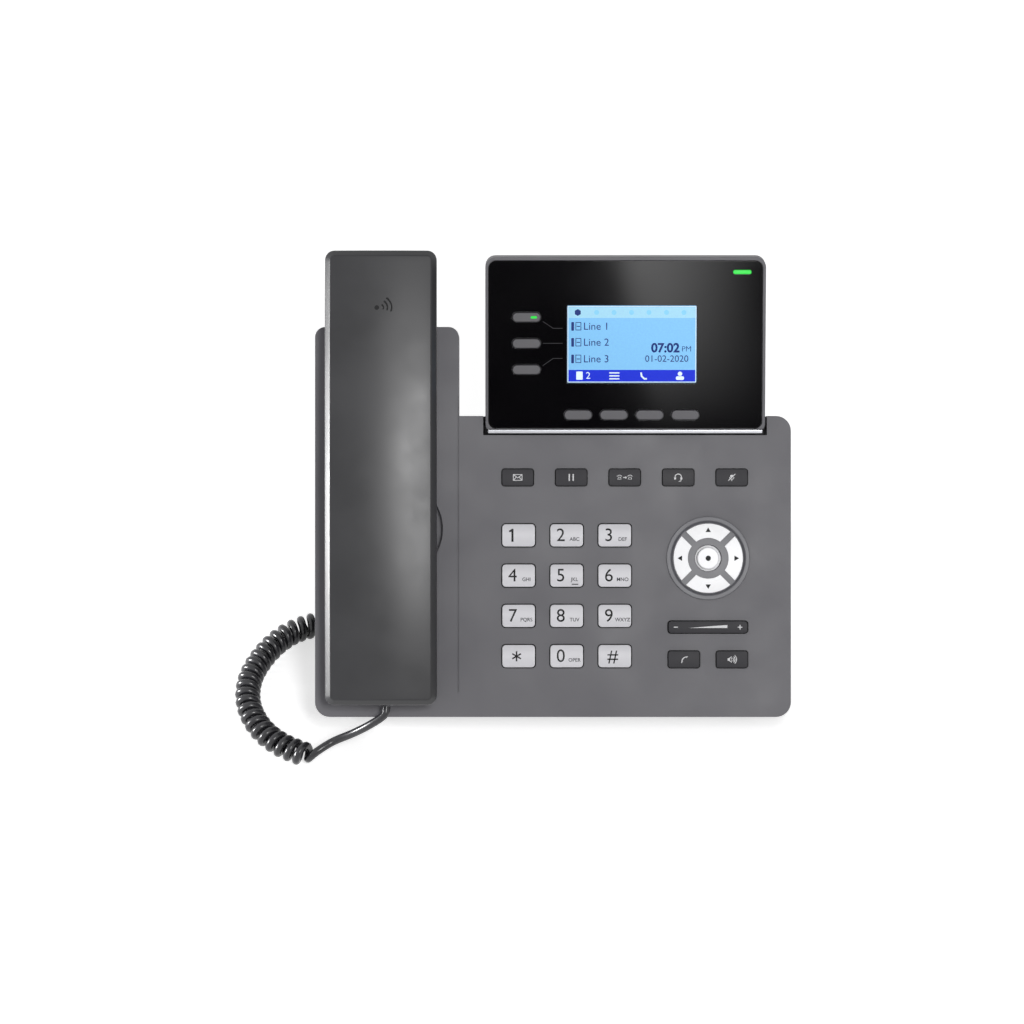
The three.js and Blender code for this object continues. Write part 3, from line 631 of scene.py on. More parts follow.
for _ in range(SMOOTHINGS):
    for join in joins:
        for i in range(join - JOIN_REACH, join + JOIN_REACH + 1):
            cord_path[i] = cord_path[i] * 0.5 + (cord_path[i - 1] + cord_path[i + 1]) * 0.25
cord_path = [Vector((p.x, p.y + DESK_SHIFT, max(p.z, WIRE / 2))) * MM for p in cord_path]
spaced = [cord_path[0]]
for point in cord_path[1:]:
    if (point - spaced[-1]).length > LEAST_STEP * MM:
        spaced.append(point)
cord_path = spaced

# %% [markdown]
# ## The jacket
#
# The jacket is glossy black PVC, extruded over stranded wire. Extruded PVC is smooth and
# slightly wavy along its length, which breaks its highlights into short bright strokes.

# %% The wire as a tube
jacket, tree, shader = blank_material("glossy black PVC jacket")
where = add(tree, "ShaderNodeTexCoord").outputs["Object"]
waves = add(tree, "ShaderNodeTexNoise", {"Scale": 1 / (4 * MM), "Detail": 2.0}, {"Vector": where})
shades = {"data_type": "RGBA", 6: srgb("#19191c"), 7: srgb("#2a2a2e")}
tone = add(tree, "ShaderNodeMix", shades, {0: waves})
shine = add(tree, "ShaderNodeMapRange", {"To Min": 0.2, "To Max": 0.34}, {"Value": waves})
ripple = add(
    tree, "ShaderNodeBump", {"Strength": 0.2, "Distance": 0.05 * MM}, {"Height": waves}
)
link(tree, shader, {"Base Color": tone.outputs[2], "Roughness": shine, "Normal": ripple})
shader.inputs["IOR"].default_value = 1.54


def tube(name, points, radius, roundness, closed=False):
    """A round tube along points in metres, drawn as a curve and made a mesh."""
    curve = bpy.data.curves.new(name, "CURVE")
    curve.dimensions = "3D"
    curve.bevel_depth = radius
    curve.bevel_resolution = roundness
    curve.use_fill_caps = True
    run = curve.splines.new("POLY")
    run.points.add(len(points) - 1)
    for point, at in zip(run.points, points):
        point.co = (*at, 1)
    run.use_cyclic_u = closed
    drawn = bpy.data.objects.new(name, curve)
    bpy.context.scene.collection.objects.link(drawn)
    select_only(drawn)
    bpy.ops.object.convert(target="MESH")
    return bpy.context.object


handset_cord = smooth(tube("handset_cord", cord_path, WIRE / 2 * MM, 3), 60)
wear(handset_cord, jacket)
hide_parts("cord_lead", "cord_coil", "cord_tail")
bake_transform(handset_cord)

# %% [markdown]
# ## The two plugs
#
# Each end of the cord is crimped into a small modular plug of clear polycarbonate, with four
# gold-plated contacts and a springy clip on its back that snaps into the socket.

# %% Clear plugs with gold contacts
clear_plug, tree, shader = blank_material("clear polycarbonate plug")
where = add(tree, "ShaderNodeTexCoord").outputs["Object"]
flow = add(tree, "ShaderNodeTexNoise", {"Scale": 1 / (3 * MM)}, {"Vector": where})
haze = add(tree, "ShaderNodeMapRange", {"To Min": 0.06, "To Max": 0.2}, {"Value": flow})
link(tree, shader, {"Roughness": haze})
shader.inputs["Base Color"].default_value = srgb("#d9dde0")
shader.inputs["Transmission Weight"].default_value = 0.75
shader.inputs["IOR"].default_value = 1.585

# Contacts are stamped and gold-plated, so they shine warm with fine rubs.
gold, tree, shader = blank_material("gold-plated contact")
where = add(tree, "ShaderNodeTexCoord").outputs["Object"]
stamped = add(tree, "ShaderNodeTexNoise", {"Scale": 1 / (0.6 * MM)}, {"Vector": where})
rub = add(tree, "ShaderNodeMapRange", {"To Min": 0.18, "To Max": 0.35}, {"Value": stamped})
link(tree, shader, {"Roughness": rub})
shader.inputs["Base Color"].default_value = srgb("#e2b65c")
shader.inputs["Metallic"].default_value = 1.0


def clear_end(name, body, stands_for, u, v, n):
    """A modular plug between its u, v and n limits; the contacts lie at its upper v end."""
    shape = plate(u, v, n)
    soften(shape, 0.45, 2, 50)
    middle = (u[0] + u[1]) / 2
    clip = plate((middle - 1.6, middle + 1.6), (v[0] + 2, v[1] - 1), (n[1] - 0.1, n[1] + 0.25))
    shape = wear(together(shape, soften(clip, 0.1, 2, 50)), clear_plug)
    ends = (v[1] - 3.2, v[1] - 0.2)
    pins = [
        wear(plate((x - 0.22, x + 0.22), ends, (n[0] - 0.12, n[0] + 1.2)), gold)
        for x in (middle - 1.5, middle - 0.5, middle + 0.5, middle + 1.5)
    ]
    shape = together(shape, *pins)
    return place(shape, name, body, FACE, [stands_for])


handset_end = clear_end(
    "handset_clear_plug", "handset", "plug_handset", (-76.1, -69.1), (5.4, 16.4), (5.25, 10.6)
)
base_end = clear_end(
    "base_clear_plug", "housing", "plug_base", (-90.5, -83.5), (84.3, 101.3), (-21.25, -15.9)
)

# %% [markdown]
# ## The top cover
#
# The top cover is one large ABS moulding: the deck with its key windows, and at the left a
# raised column with two wells for the handset's ends. Its outline is two plates welded, its
# wells and windows are cut with plugs of the right shape, and a last bevel rounds every edge
# as the mould does. The thumb scoop at the column's right lets a finger under the handset.

# %% Sizes of the cover
HALF = 104
DECK_END = 131.6
COLUMN_RIGHT = -41.1
COLUMN_END = 170.5
DECK_DEPTH = 13
HANDSET_U = -74.9
PLUNGER_V = 147.7
TAB_V = 127.7
SCOOP = (-69.7, 82.2)
SCOOP_RADIUS = 21.6
EAR_V = 179.2
MOUTH_V = 29.7
WELL = (42, 41, 9.5)
NOTCH = ((-30.5, 93.5), (123.2, 140))
NAV = (67.8, 69.4)
number_keys = {
    "key_1": (-15, 79.4, "1", ""),
    "key_2": (6, 79.4, "2", "ABC"),
    "key_3": (27, 79.4, "3", "DEF"),
    "key_4": (-15, 61.8, "4", "GHI"),
    "key_5": (6, 61.8, "5", "JKL"),
    "key_6": (27, 61.8, "6", "MNO"),
    "key_7": (-15, 44.2, "7", "PQRS"),
    "key_8": (6, 44.2, "8", "TUV"),
    "key_9": (27, 44.2, "9", "WXYZ"),
    "key_star": (-15, 26.6, "*", ""),
    "key_0": (6, 26.6, "0", "OPER"),
    "key_pound": (27, 26.6, "#", ""),
}
function_keys = {
    "message_key": (-15.4, 104.7),
    "hold_key": (7.975, 104.7),
    "transfer_key": (31.35, 104.7),
    "headset_key": (54.725, 104.7),
    "mute_key": (78.1, 104.7),
    "send_key": (57.2, 25.2),
    "speaker_key": (78.2, 25.2),
}
ROCKER = (67.7, 39.3, 34.7, 5.15)
FIT = 0.4
print("the deck has", len(number_keys) + len(function_keys) + 1, "windows")


# %% Shapes that are cut again and again


def around(centre, width, height, n, corner, grow=0.0, steps=5):
    """A plate about a centre, grown on every side."""
    u, v = centre
    w, h = width / 2 + grow, height / 2 + grow
    return plate((u - w, u + w), (v - h, v + h), n, corner + grow, steps)


def well_plug(v, through_end, grow=0.0, top=6):
    """The space that an end of the handset sinks into, or the tub round it when grown."""
    w, h, deep = WELL
    high = v + h / 2 + (30 if through_end else grow)
    across = (HANDSET_U - w / 2 - grow, HANDSET_U + w / 2 + grow)
    return plate(across, (v - h / 2 - grow, high), (-deep - grow, top), 9.5 + grow, 8)


# %% Outline, wells and windows
def covers_outline(bottom, top, inset=0.0):
    """The covers seen from the front, as one solid between two heights."""
    deck = plate(
        (-HALF + inset, HALF - inset), (inset, DECK_END - inset), (bottom, top), 6.5 - inset, 8
    )
    column = plate(
        (-HALF + inset, COLUMN_RIGHT - inset),
        (40, COLUMN_END - inset),
        (bottom, top),
        4.5 - inset,
        8,
    )
    return weld(deck, column)


top_cover = covers_outline(-DECK_DEPTH, 0)
soften(top_cover, 1.3, 4, 60)
openings = [well_plug(EAR_V, True), well_plug(MOUTH_V, False)]
openings.append(disc(SCOOP, SCOOP_RADIUS, (-6, 2), 96))
openings.append(disc((HANDSET_U, TAB_V), 8.4, (-3, 2), 64))
openings.append(around((HANDSET_U, PLUNGER_V), 7, 7, (-11, 2), 1, FIT))
openings.append(plate(NOTCH[0], NOTCH[1], (-20, 2)))
openings.append(disc(NAV, 17.0, (-4, 2), 96))
openings.append(plate((-42, COLUMN_RIGHT), (10.9, 140), (-0.8, 2)))
openings += [around(k[:2], 14.4, 9.9, (-4, 2), 1.5, FIT) for k in number_keys.values()]
openings += [around(k, 13.6, 7.2, (-4, 2), 1.0, FIT) for k in function_keys.values()]
openings.append(around(ROCKER[:2], ROCKER[2], ROCKER[3], (-4, 2), 1.2, FIT))
cut(top_cover, *openings)
print("the cover has", len(openings), "openings")

# %% [markdown]
# The cover is a skin 2.4 mm thick, not a block: behind it lie the keys' flanges, the rubber
# mat and the board. What is scooped out from below is the outline drawn in by the wall, less
# the tubs that hang round the wells, the scoop and the notch.

# %% Hollow it from below
WALL = 2.4
TUB = 2.0
inside = covers_outline(-DECK_DEPTH - 1, -WALL, WALL)
tubs = [
    well_plug(EAR_V, True, TUB, -1),
    well_plug(MOUTH_V, False, TUB, -1),
    disc(SCOOP, SCOOP_RADIUS + TUB, (-6 - TUB, -1), 96),
    disc((HANDSET_U, TAB_V), 8.4 + TUB, (-3 - TUB, -1), 64),
    plate((NOTCH[0][0] - WALL, NOTCH[0][1] + WALL), (NOTCH[1][0] - WALL, 140), (-15, -1)),
]
cut(inside, *tubs)
cut(top_cover, inside)
soften(top_cover, 0.35, 2, 50)
wear(top_cover, deck_abs)
place(top_cover, "deck_cover", "housing", FACE, ["top_cover"])

# %% [markdown]
# ## The bottom cover
#
# The bottom cover closes the phone from behind. It is a shallow tray in the same grain, and
# holds two bays: a wide one in the middle where the network and power plugs go up into their
# sockets, and a small one behind the column for the handset and headset plugs. Slots in
# front of the loudspeaker, the slots that take the stand's hooks, screws in deep bosses and
# two keyholes for a wall plate are what the eye finds on the back.

# %% The tray and its bays
BACK = -26
NETWORK_BAY = ((-40, 40), (56, 90), (BACK - 1, -11.4))
AUDIO_BAY = ((-98, -62), (56, 90), (BACK - 1, BACK + 11))
BACK_WALL = 2.2
back_cover = covers_outline(BACK, -DECK_DEPTH - 0.3)
soften(back_cover, 1.3, 4, 60)
screws = ((-92, 12), (92, 12), (92, 118), (-50, 12), (-92, 158))
inside = covers_outline(BACK + BACK_WALL, -12, BACK_WALL)
solids = [plate((-42, 42), (54, 92), (BACK, -9.4)), plate((-100, -60), (54, 92), (BACK, -13))]
solids += [disc(at, 5.2, (BACK, -14), 40) for at in screws]
cut(inside, *solids)
tools = [inside, plate(*NETWORK_BAY, 1.5, 3), plate(*AUDIO_BAY, 1.5, 3)]
for port in (-27, -11):
    tools.append(around((port, 92), 11.8, 14, (-20.05, -12.05), 0.4))
tools.append(plate((-90.9, -83.1), (85, 99), (-21.8, -15.2), 0.3))
tools.append(plate((-76.9, -69.1), (85, 99), (-21.8, -15.2), 0.3))
for i in range(7):
    tools.append(around((66, 30 + (i - 3) * 4.4), 30 - abs(i - 3) * 4.5, 2, (BACK - 1, -22), 0.99))
tools += [disc(at, 3.2, (BACK - 1, BACK + 4), 40) for at in screws]
tools += [disc((u, 40), 4.2, (BACK - 1, BACK + 2), 40) for u in (-50, 40)]
tools += [plate((u - 2, u + 2), (40, 48), (BACK - 1, BACK + 2), 1.9) for u in (-50, 40)]
tools.append(around((0, 22), 46, 18, (BACK - 1, BACK + 0.4), 2))
for u in (-44, 44):
    for v in (102, 120):
        tools.append(plate((u - 4, u + 4), (v - 8.5, v + 4.5), (BACK - 1, BACK + 3), 0.8, 3))
cut(back_cover, *tools)
soften(back_cover, 0.3, 2, 50)
wear(back_cover, back_abs)
place(back_cover, "back_cover", "housing", FACE, ["bottom_cover"])

# %% [markdown]
# ## Printing
#
# Digits, letters and symbols are pad-printed: a soft pad carries ink onto the finished cap,
# so they are a few hundredths of a millimetre thick and follow its curve. Text is written
# flat, turned into a mesh, dropped onto the cap along n and given the ink's thickness. Lines
# are drawn as thin tubes pressed nearly flat.

# %% Inks


def ink(name, colour, glow=0.0, roughness=0.5):
    """Solid pad-printing ink; its edge soaks in a little, so the tone wavers slightly."""
    material, tree, shader = blank_material(name)
    where = add(tree, "ShaderNodeTexCoord").outputs["Object"]
    soak = add(tree, "ShaderNodeTexNoise", {"Scale": 1 / (0.8 * MM)}, {"Vector": where})
    value = add(tree, "ShaderNodeMapRange", {"To Min": 0.92, "To Max": 1.06}, {"Value": soak})
    tone = add(tree, "ShaderNodeHueSaturation", {"Color": srgb(colour)}, {"Value": value})
    link(tree, shader, {"Base Color": tone})
    shader.inputs["Specular IOR Level"].default_value = 0.2
    shader.inputs["Roughness"].default_value = roughness
    if glow:
        link(tree, shader, {"Emission Color": tone})
        shader.inputs["Emission Strength"].default_value = glow
    return material


black_ink = ink("black key ink", "#0e0e10")
grey_ink = ink("grey key ink", "#4a4a50")
pale_ink = ink("pale grey symbol ink", "#f4f4f6")
guide_ink = ink("dark grey guide ink", "#3c3c40")
INK_THICKNESS = 0.03


# %% Text and lines
def lettering(text, at, size, material, target=None, n=0.0, thin=0.0, align="CENTER"):
    """Text centred at (u, v), dropped onto the target or laid at height n."""
    select_only()
    bpy.ops.object.text_add(location=(0, 0, 0))
    words = bpy.context.object
    words.data.body = text
    words.data.size = size * MM
    words.data.offset = -thin * size * MM
    words.data.resolution_u = 4
    words.data.align_x = align
    words.data.align_y = "CENTER"
    bpy.ops.object.convert(target="MESH")
    words = bpy.context.object
    bpy.ops.transform.translate(value=(at[0] * MM, at[1] * MM, (n + 6 * bool(target)) * MM))
    bpy.ops.object.transform_apply(location=True, rotation=True, scale=True)
    if target:
        pick(words, "faces", lambda face: True)
        bpy.ops.mesh.quads_convert_to_tris()
        bpy.ops.mesh.subdivide(number_cuts=3 if size > 5 else 1)
        leave_edit()
        apply_modifier(
            words,
            "SHRINKWRAP",
            target=target,
            wrap_method="PROJECT",
            use_project_z=True,
            use_negative_direction=True,
            use_positive_direction=False,
            offset=0.01 * MM,
        )
    apply_modifier(words, "SOLIDIFY", thickness=2 * INK_THICKNESS * MM, offset=0)
    return wear(words, material)


def line(points, width, n, material, closed=False):
    """A printed line through (u, v) points."""
    flat = [(u * MM, v * MM, 0) for u, v in points]
    drawn = tube("line", flat, width / 2 * MM, 1, closed)
    bpy.ops.transform.resize(value=(1, 1, 2 * INK_THICKNESS / width))
    shift(drawn, (0, 0, n))
    return wear(drawn, material)


def arc(centre, radius, start, end, steps=12):
    """Points on an arc, angles in degrees."""
    turns = [math.radians(start + (end - start) * i / steps) for i in range(steps + 1)]
    return [(centre[0] + radius * math.cos(t), centre[1] + radius * math.sin(t)) for t in turns]


def spot(centre, radius, n, material, sides=24):
    return wear(disc(centre, radius, (n - 0.02, n + INK_THICKNESS), sides), material)


def patch(u, v, n, material, corner=0.0):
    """A printed rectangle."""
    return wear(plate(u, v, (n - 0.02, n + INK_THICKNESS), corner, 3), material)

# %% [markdown]
# ## Key caps
#
# Every key is a moulded cap that stands a little proud of the deck on a wider flange, so that
# it can't fall out of its window. Its top is crowned: higher in the middle than at its lower
# and upper edges, which is why it catches the light in a slow fade. The crown is cut by
# keeping only what lies inside a large cylinder.

# %% One cap
PROUD = 1.6
FLANGE = (-4.0, -2.8)


def crowned_cap(finish, centre, width, height, corner, top, crown, flange=FLANGE, low=-3.4):
    """A cap whose top drops by the crown at its upper and lower edges."""
    u, v = centre
    cap = around(centre, width, height, (low, top), corner)
    radius = (height**2 / 4 + crown**2) / (2 * crown)
    select_only()
    bpy.ops.mesh.primitive_cylinder_add(
        vertices=360,
        radius=radius * MM,
        depth=(width + 4) * MM,
        location=(u * MM, v * MM, (top - radius) * MM),
        rotation=(0, math.pi / 2, 0),
    )
    bpy.ops.object.transform_apply(location=True, rotation=True, scale=True)
    combine(cap, bpy.context.object, "INTERSECT")
    wear(soften(cap, 0.35, 3, 50), finish)
    # The flange is matt black, not the cap's colour: this is painted shade, so the gap round the key
    # reads dark.
    painted_shade_brim = wear(around(centre, width, height, flange, corner, 0.8), black_abs_and_gap_shade)
    return together(cap, painted_shade_brim)


# %% [markdown]
# ## The number keys
#
# Twelve pale lacquered keys carry black digits and small grey letters. One cap is made and
# copied; each copy gets its own print.

# %% Twelve number keys
blank_key = crowned_cap(pale_key_rubber, (0, 0), 14.2, 9.7, 1.5, PROUD, 1.0)
for name, (u, v, digit, letters) in number_keys.items():
    cap = copied(blank_key, (u, v, 0))
    cap.name = name + "_cap"
    prints = []
    if digit == "*":
        for turn in (90, 30, 150):
            ends = arc((u - 0.9, v), 2.2, turn, turn + 180, 1)
            prints.append(line(ends, 0.62, PROUD, black_ink))
    elif digit == "1":
        prints.append(line([(u - 4.1, v + 1.6), (u - 2.7, v + 2.45)], 0.85, PROUD - 0.1, black_ink))
        stem = wear(plate((u - 3.15, u - 2.25), (v - 2.85, v + 2.85), (0, PROUD + 1)), black_ink)
        skin = copied(blank_key, (u, v, INK_THICKNESS))
        prints.append(wear(combine(stem, skin, "INTERSECT"), black_ink))
    else:
        middle = u - 0.9 if digit == "#" else u - 2.6
        prints.append(lettering(digit, (middle, v - 0.1), 8.0, black_ink, cap))
    if letters:
        prints.append(lettering(letters, (u + 3.4, v - 1.7), 2.2, grey_ink, cap, thin=-0.01))
    if digit == "5":
        prints.append(patch((u + 2.2, u + 5.0), (v - 4.0, v - 3.6), PROUD - 0.32, grey_ink))
    cap = together(cap, *prints)
    place(cap, name + "_cap", name, FACE, [name])
bpy.data.objects.remove(blank_key)

# %% [markdown]
# ## The dark keys
#
# Seven small charcoal keys carry pale symbols: message, hold, transfer, headset and mute in
# a row, then send and loudspeaker. The symbols are the plain ones that any phone uses.

# %% Symbols, each drawn about (0, 0)


def stroke(points, width, closed=False):
    """One pale line on a cap's top."""
    return line(points, width, PROUD, pale_ink, closed)


def handset_symbol(u=0.0, v=0.0, size=1.0, tilt=0):
    """A handset: a bowed grip with two thick ends."""
    turn = math.radians(tilt)

    def at(x, y):
        x, y = x * size, y * size
        across = x * math.cos(turn) - y * math.sin(turn)
        up = x * math.sin(turn) + y * math.cos(turn)
        return (u + across, v + up)

    grip = [at(x, y) for x, y in arc((0, -1.5), 1.9, 140, 40, 8)]
    ear = [at(-1.45, -0.1), at(-1.45, -0.5)]
    mouth = [at(1.45, -0.1), at(1.45, -0.5)]
    return [
        stroke(grip, 0.45 * size),
        stroke(ear, 0.85 * size),
        stroke(mouth, 0.85 * size),
    ]


def phone_symbol(u):
    """A desk phone seen from the front: a handset over a small body."""
    sides = [(u - 0.75, -0.75), (u + 0.75, -0.75), (u + 0.45, 0.1), (u - 0.45, 0.1)]
    body = stroke(sides, 0.3, closed=True)
    return [body, *handset_symbol(u, 0.75, 0.62)]


def message_symbol():
    box = [(-1.9, -1.25), (1.9, -1.25), (1.9, 1.25), (-1.9, 1.25)]
    return [
        stroke(box, 0.45, closed=True),
        stroke([(-1.8, 1.15), (0, -0.2), (1.8, 1.15)], 0.39),
        stroke([(-1.8, -1.15), (-0.6, 0.2)], 0.34),
        stroke([(1.8, -1.15), (0.6, 0.2)], 0.34),
    ]


def hold_symbol():
    return [patch((x - 0.28, x + 0.28), (-1.5, 1.5), PROUD, pale_ink) for x in (-0.85, 0.85)]


def transfer_symbol():
    arrow = stroke([(-0.7, 0), (0.75, 0)], 0.42)
    tip = stroke([(0.3, 0.45), (0.8, 0), (0.3, -0.45)], 0.39)
    return [arrow, tip, *phone_symbol(-2.3), *phone_symbol(2.3)]


def headset_symbol():
    band = stroke(arc((0, 0.1), 1.4, 0, 180, 14), 0.45)
    pads = [stroke([(x, 0.05), (x, -0.9)], 0.98) for x in (-1.35, 1.35)]
    boom = stroke([(1.35, -0.9), (1.1, -1.6), (0.2, -1.7)], 0.35)
    return [band, *pads, boom]


def mute_symbol():
    capsule = stroke([(0, 1.1), (0, 0.1)], 1.33)
    cradle = stroke(arc((0, 0.15), 0.95, 180, 360, 10), 0.34)
    stem = stroke([(0, -0.8), (0, -1.6)], 0.36)
    slash = stroke([(-1.5, -1.4), (1.5, 1.5)], 0.42)
    return [capsule, cradle, stem, slash]


def send_symbol():
    return handset_symbol(0, 0.2, 1.05, 45)


def speaker_symbol():
    box = patch((-1.9, -1.1), (-0.55, 0.55), PROUD, pale_ink)
    horn = stroke([(-1.1, 0.5), (-0.25, 1.25), (-0.25, -1.25), (-1.1, -0.5)], 0.49, closed=True)
    waves = [stroke(arc((-0.4, 0), r, -48, 48, 8), 0.39) for r in (1.0, 1.7, 2.4)]
    return [box, horn, *waves]


symbols = {
    "message_key": message_symbol,
    "hold_key": hold_symbol,
    "transfer_key": transfer_symbol,
    "headset_key": headset_symbol,
    "mute_key": mute_symbol,
    "send_key": send_symbol,
    "speaker_key": speaker_symbol,
}

# %% Seven dark keys
blank_key = crowned_cap(dark_key_abs, (0, 0), 13.5, 7.1, 1.0, PROUD, 0.25)
for name, (u, v) in function_keys.items():
    cap = shift(together(copied(blank_key), *symbols[name]()), (u, v, 0))
    place(cap, name + "_cap", name, FACE, [name])
bpy.data.objects.remove(blank_key)

# %% [markdown]
# ## The volume rocker
#
# One long key rocks about its middle: left for softer, right for louder, with a wedge that
# grows between a minus and a plus.

# %% Rocker
u, v, wide, high = ROCKER
ROCKER_FLANGE = (-4.4, -3.4)
rocker = crowned_cap(
    dark_key_abs, (0, 0), wide - 0.4, high - 0.1, 1.2, PROUD, 0.2, ROCKER_FLANGE, -4.2
)
wedge = [(-8.5, -0.35), (8.5, -0.35), (8.5, 0.95)]
marks = [
    stroke([(-14.9, 0), (-13.1, 0)], 0.45),
    stroke([(13.0, 0), (15.0, 0)], 0.45),
    stroke([(14.0, -1.0), (14.0, 1.0)], 0.45),
]
select_only()
bpy.ops.mesh.primitive_circle_add(vertices=3, radius=MM, fill_type="NGON", location=(0, 0, 0))
ramp = bpy.context.object
for corner, (x, y) in zip(ramp.data.vertices, wedge):
    corner.co = (x * MM, y * MM, PROUD * MM)
apply_modifier(ramp, "SOLIDIFY", thickness=INK_THICKNESS * MM, offset=0)
marks.append(wear(ramp, pale_ink))
rocker = shift(together(rocker, *marks), (u, v, 0))
place(rocker, "volume_rocker_cap", "volume_rocker", FACE, ["volume_rocker"])

# %% [markdown]
# ## The navigation ring
#
# Four white arrow keys and an OK button sit in a dished grey ring. The arrow keys are one
# turned white ring sawn into four by two crossing bars, which is also how such a set is
# moulded: together, then separated.

# %% Ring, arrows and button
u, v = NAV
ring = disc((0, 0), 18.2, (0.3, 1.3), 128)
ring = weld(ring, disc((0, 0), 16.6, (-2.4, 1.2), 128))
dish = disc((0, 0), 15.6, (0.3, 2.0), 128, 16.9)
ring = cut(ring, dish, disc((0, 0), 5.7, (-4, 2), 64))
trench = cut(disc((0, 0), 15.6, (-4, 0.1), 128), disc((0, 0), 8.4, (-5, 1), 64))
bars = []
for turn in (45, -45):
    bar = plate((-20, 20), (-1.05, 1.05), (-6, 3))
    select_only(bar)
    bpy.ops.transform.rotate(
        value=math.radians(turn), orient_axis="Z", center_override=(0, 0, 0)
    )
    bpy.ops.object.transform_apply(location=True, rotation=True, scale=True)
    bars.append(bar)
wide_bars = [copied(bar) for bar in bars]
cut(trench, *bars)
cut(ring, trench)
soften(ring, 0.3, 3, 40)

wheel = cut(disc((0, 0), 15.1, (-3.4, 1.8), 128), disc((0, 0), 8.9, (-5, 3), 64))
for bar in wide_bars:
    bar.data.transform(Matrix.Scale(1.32, 4, Vector((1, 1, 0)).normalized()))
    bar.data.transform(Matrix.Scale(1.32, 4, Vector((1, -1, 0)).normalized()))
cut(wheel, *wide_bars)
soften(wheel, 0.45, 3, 40)
wear(wheel, white_key_abs)
select_only(wheel)
bpy.ops.object.mode_set(mode="EDIT")
bpy.ops.mesh.select_all(action="SELECT")
bpy.ops.mesh.separate(type="LOOSE")
leave_edit()
arrows = list(bpy.context.selected_objects)
print("the wheel was sawn into", len(arrows))

# %% Name each arrow by where it lies
ARROW_TOP = 1.8


def triangle(turn):
    """A small black pointer that looks outwards at this angle."""
    select_only()
    bpy.ops.mesh.primitive_cone_add(
        vertices=3,
        radius1=1.35 * MM,
        radius2=1.35 * MM,
        depth=2 * INK_THICKNESS * MM,
        location=(12.1 * MM, 0, ARROW_TOP * MM),
        rotation=(0, 0, -math.pi / 2),
    )
    mark = bpy.context.object
    bpy.ops.object.transform_apply(location=True, rotation=True, scale=True)
    mark.data.transform(Matrix.Rotation(math.radians(turn), 4, "Z"))
    return wear(mark, black_ink)


arrow_names = {0: "nav_right", 90: "nav_up", 180: "nav_left", 270: "nav_down"}
to_nav = Matrix.Translation((u * MM, v * MM, 0))
for arrow in arrows:
    middle = sum((corner.co for corner in arrow.data.vertices), Vector())
    turn = round(math.degrees(math.atan2(middle.y, middle.x)) / 90) * 90 % 360
    name = arrow_names[turn]
    arrow = together(arrow, triangle(turn))
    place(arrow, name + "_cap", name, FACE @ to_nav, [name])
wear(ring, bezel_abs)
place(ring, "nav_ring", "housing", FACE @ to_nav, ["nav_bezel"])

button = disc((0, 0), 4.85, (-3.4, 2.0), 64)
button = soften(button, 0.5, 3, 40)
button = wear(together(button, disc((0, 0), 6.2, (-4, -2.8), 48)), white_key_abs)
button = together(button, spot((0, 0), 1.15, 2.0, black_ink, 32))
place(button, "nav_ok_cap", "nav_ok", FACE @ to_nav, ["nav_ok"])

# %% [markdown]
# ## The display housing
#
# The display is a flat box that stands on a neck in the deck's notch. Its shell is the grey
# of the deck, and a glossy black panel fills it up to a thin rim. Black high-gloss ABS comes
# out of a mirror-polished mould, so the panel has no grain at all, only the faint waviness
# that any moulded sheet has.

# %% Gloss black, silver and the light
gloss_black, tree, shader = blank_material("high-gloss black ABS panel")
where = add(tree, "ShaderNodeTexCoord").outputs["Object"]
swell = add(tree, "ShaderNodeTexNoise", {"Scale": 1 / (35 * MM)}, {"Vector": where})
wave = add(tree, "ShaderNodeBump", {"Strength": 0.1, "Distance": 0.02 * MM}, {"Height": swell})
dust = add(tree, "ShaderNodeMapRange", {"To Min": 0.05, "To Max": 0.1}, {"Value": swell})
link(tree, shader, {"Normal": wave, "Roughness": dust})
shader.inputs["Base Color"].default_value = srgb("#08070a")
shader.inputs["IOR"].default_value = 1.5

# The strip is brushed along its length before it is painted, so its shine breaks across it.
silver, tree, shader = blank_material("brushed silver-painted strip")
where = add(tree, "ShaderNodeTexCoord").outputs["Object"]
along = add(tree, "ShaderNodeMapping", {"Scale": (40, 4000, 4000)}, {"Vector": where})
brush = add(tree, "ShaderNodeTexNoise", {"Scale": 1.0, "Detail": 2.0}, {"Vector": along})
lines = add(tree, "ShaderNodeMapRange", {"To Min": 0.22, "To Max": 0.4}, {"Value": brush})
link(tree, shader, {"Roughness": lines})
shader.inputs["Base Color"].default_value = srgb("#a9aaae")
shader.inputs["Metallic"].default_value = 0.9

green_glow = ink("lit green light pipe", "#2bd445", 0.5, 0.25)
print("display finishes are ready")

# %% Shell and neck
SCREEN_LENGTH = 77.4
shell = plate((-61, 61), (0, SCREEN_LENGTH), (-13, 0), 4.4, 8)
pick(
    shell,
    "edges",
    lambda e: max(v.co.z for v in e.verts) < -12 * MM and e.verts[0].co.y > 5 * MM,
)
bpy.ops.mesh.bevel(offset=4 * MM, segments=5, affect="EDGES")
leave_edit()
soften(shell, 0.8, 3, 60)
cut(shell, plate((-59.8, 59.8), (2.2, 76.2), (-2.6, 1), 3.5, 8))
cut(shell, plate((-60.2, 60.2), (-1, 2.21), (-2.5, 1)))
vents = [around((-30 + i * 12, 60), 7, 2, (-14, -12.2), 0.9) for i in range(6)]
cut(shell, *vents)
neck = plate((-20.5, 83.5), (125.2, 129), (-20.5, -6.5))
neck.data.transform(DISPLAY.inverted() @ FACE)
weld(shell, neck)
soften(shell, 0.25, 2, 50)
wear(shell, deck_abs)
place(shell, "display_housing", "housing", DISPLAY, ["display_shell"])

# %% [markdown]
# ## Panel, strip and message light
#
# The panel is cut for the screen, the three line keys, the four soft keys and the light. A
# silver strip closes it below.

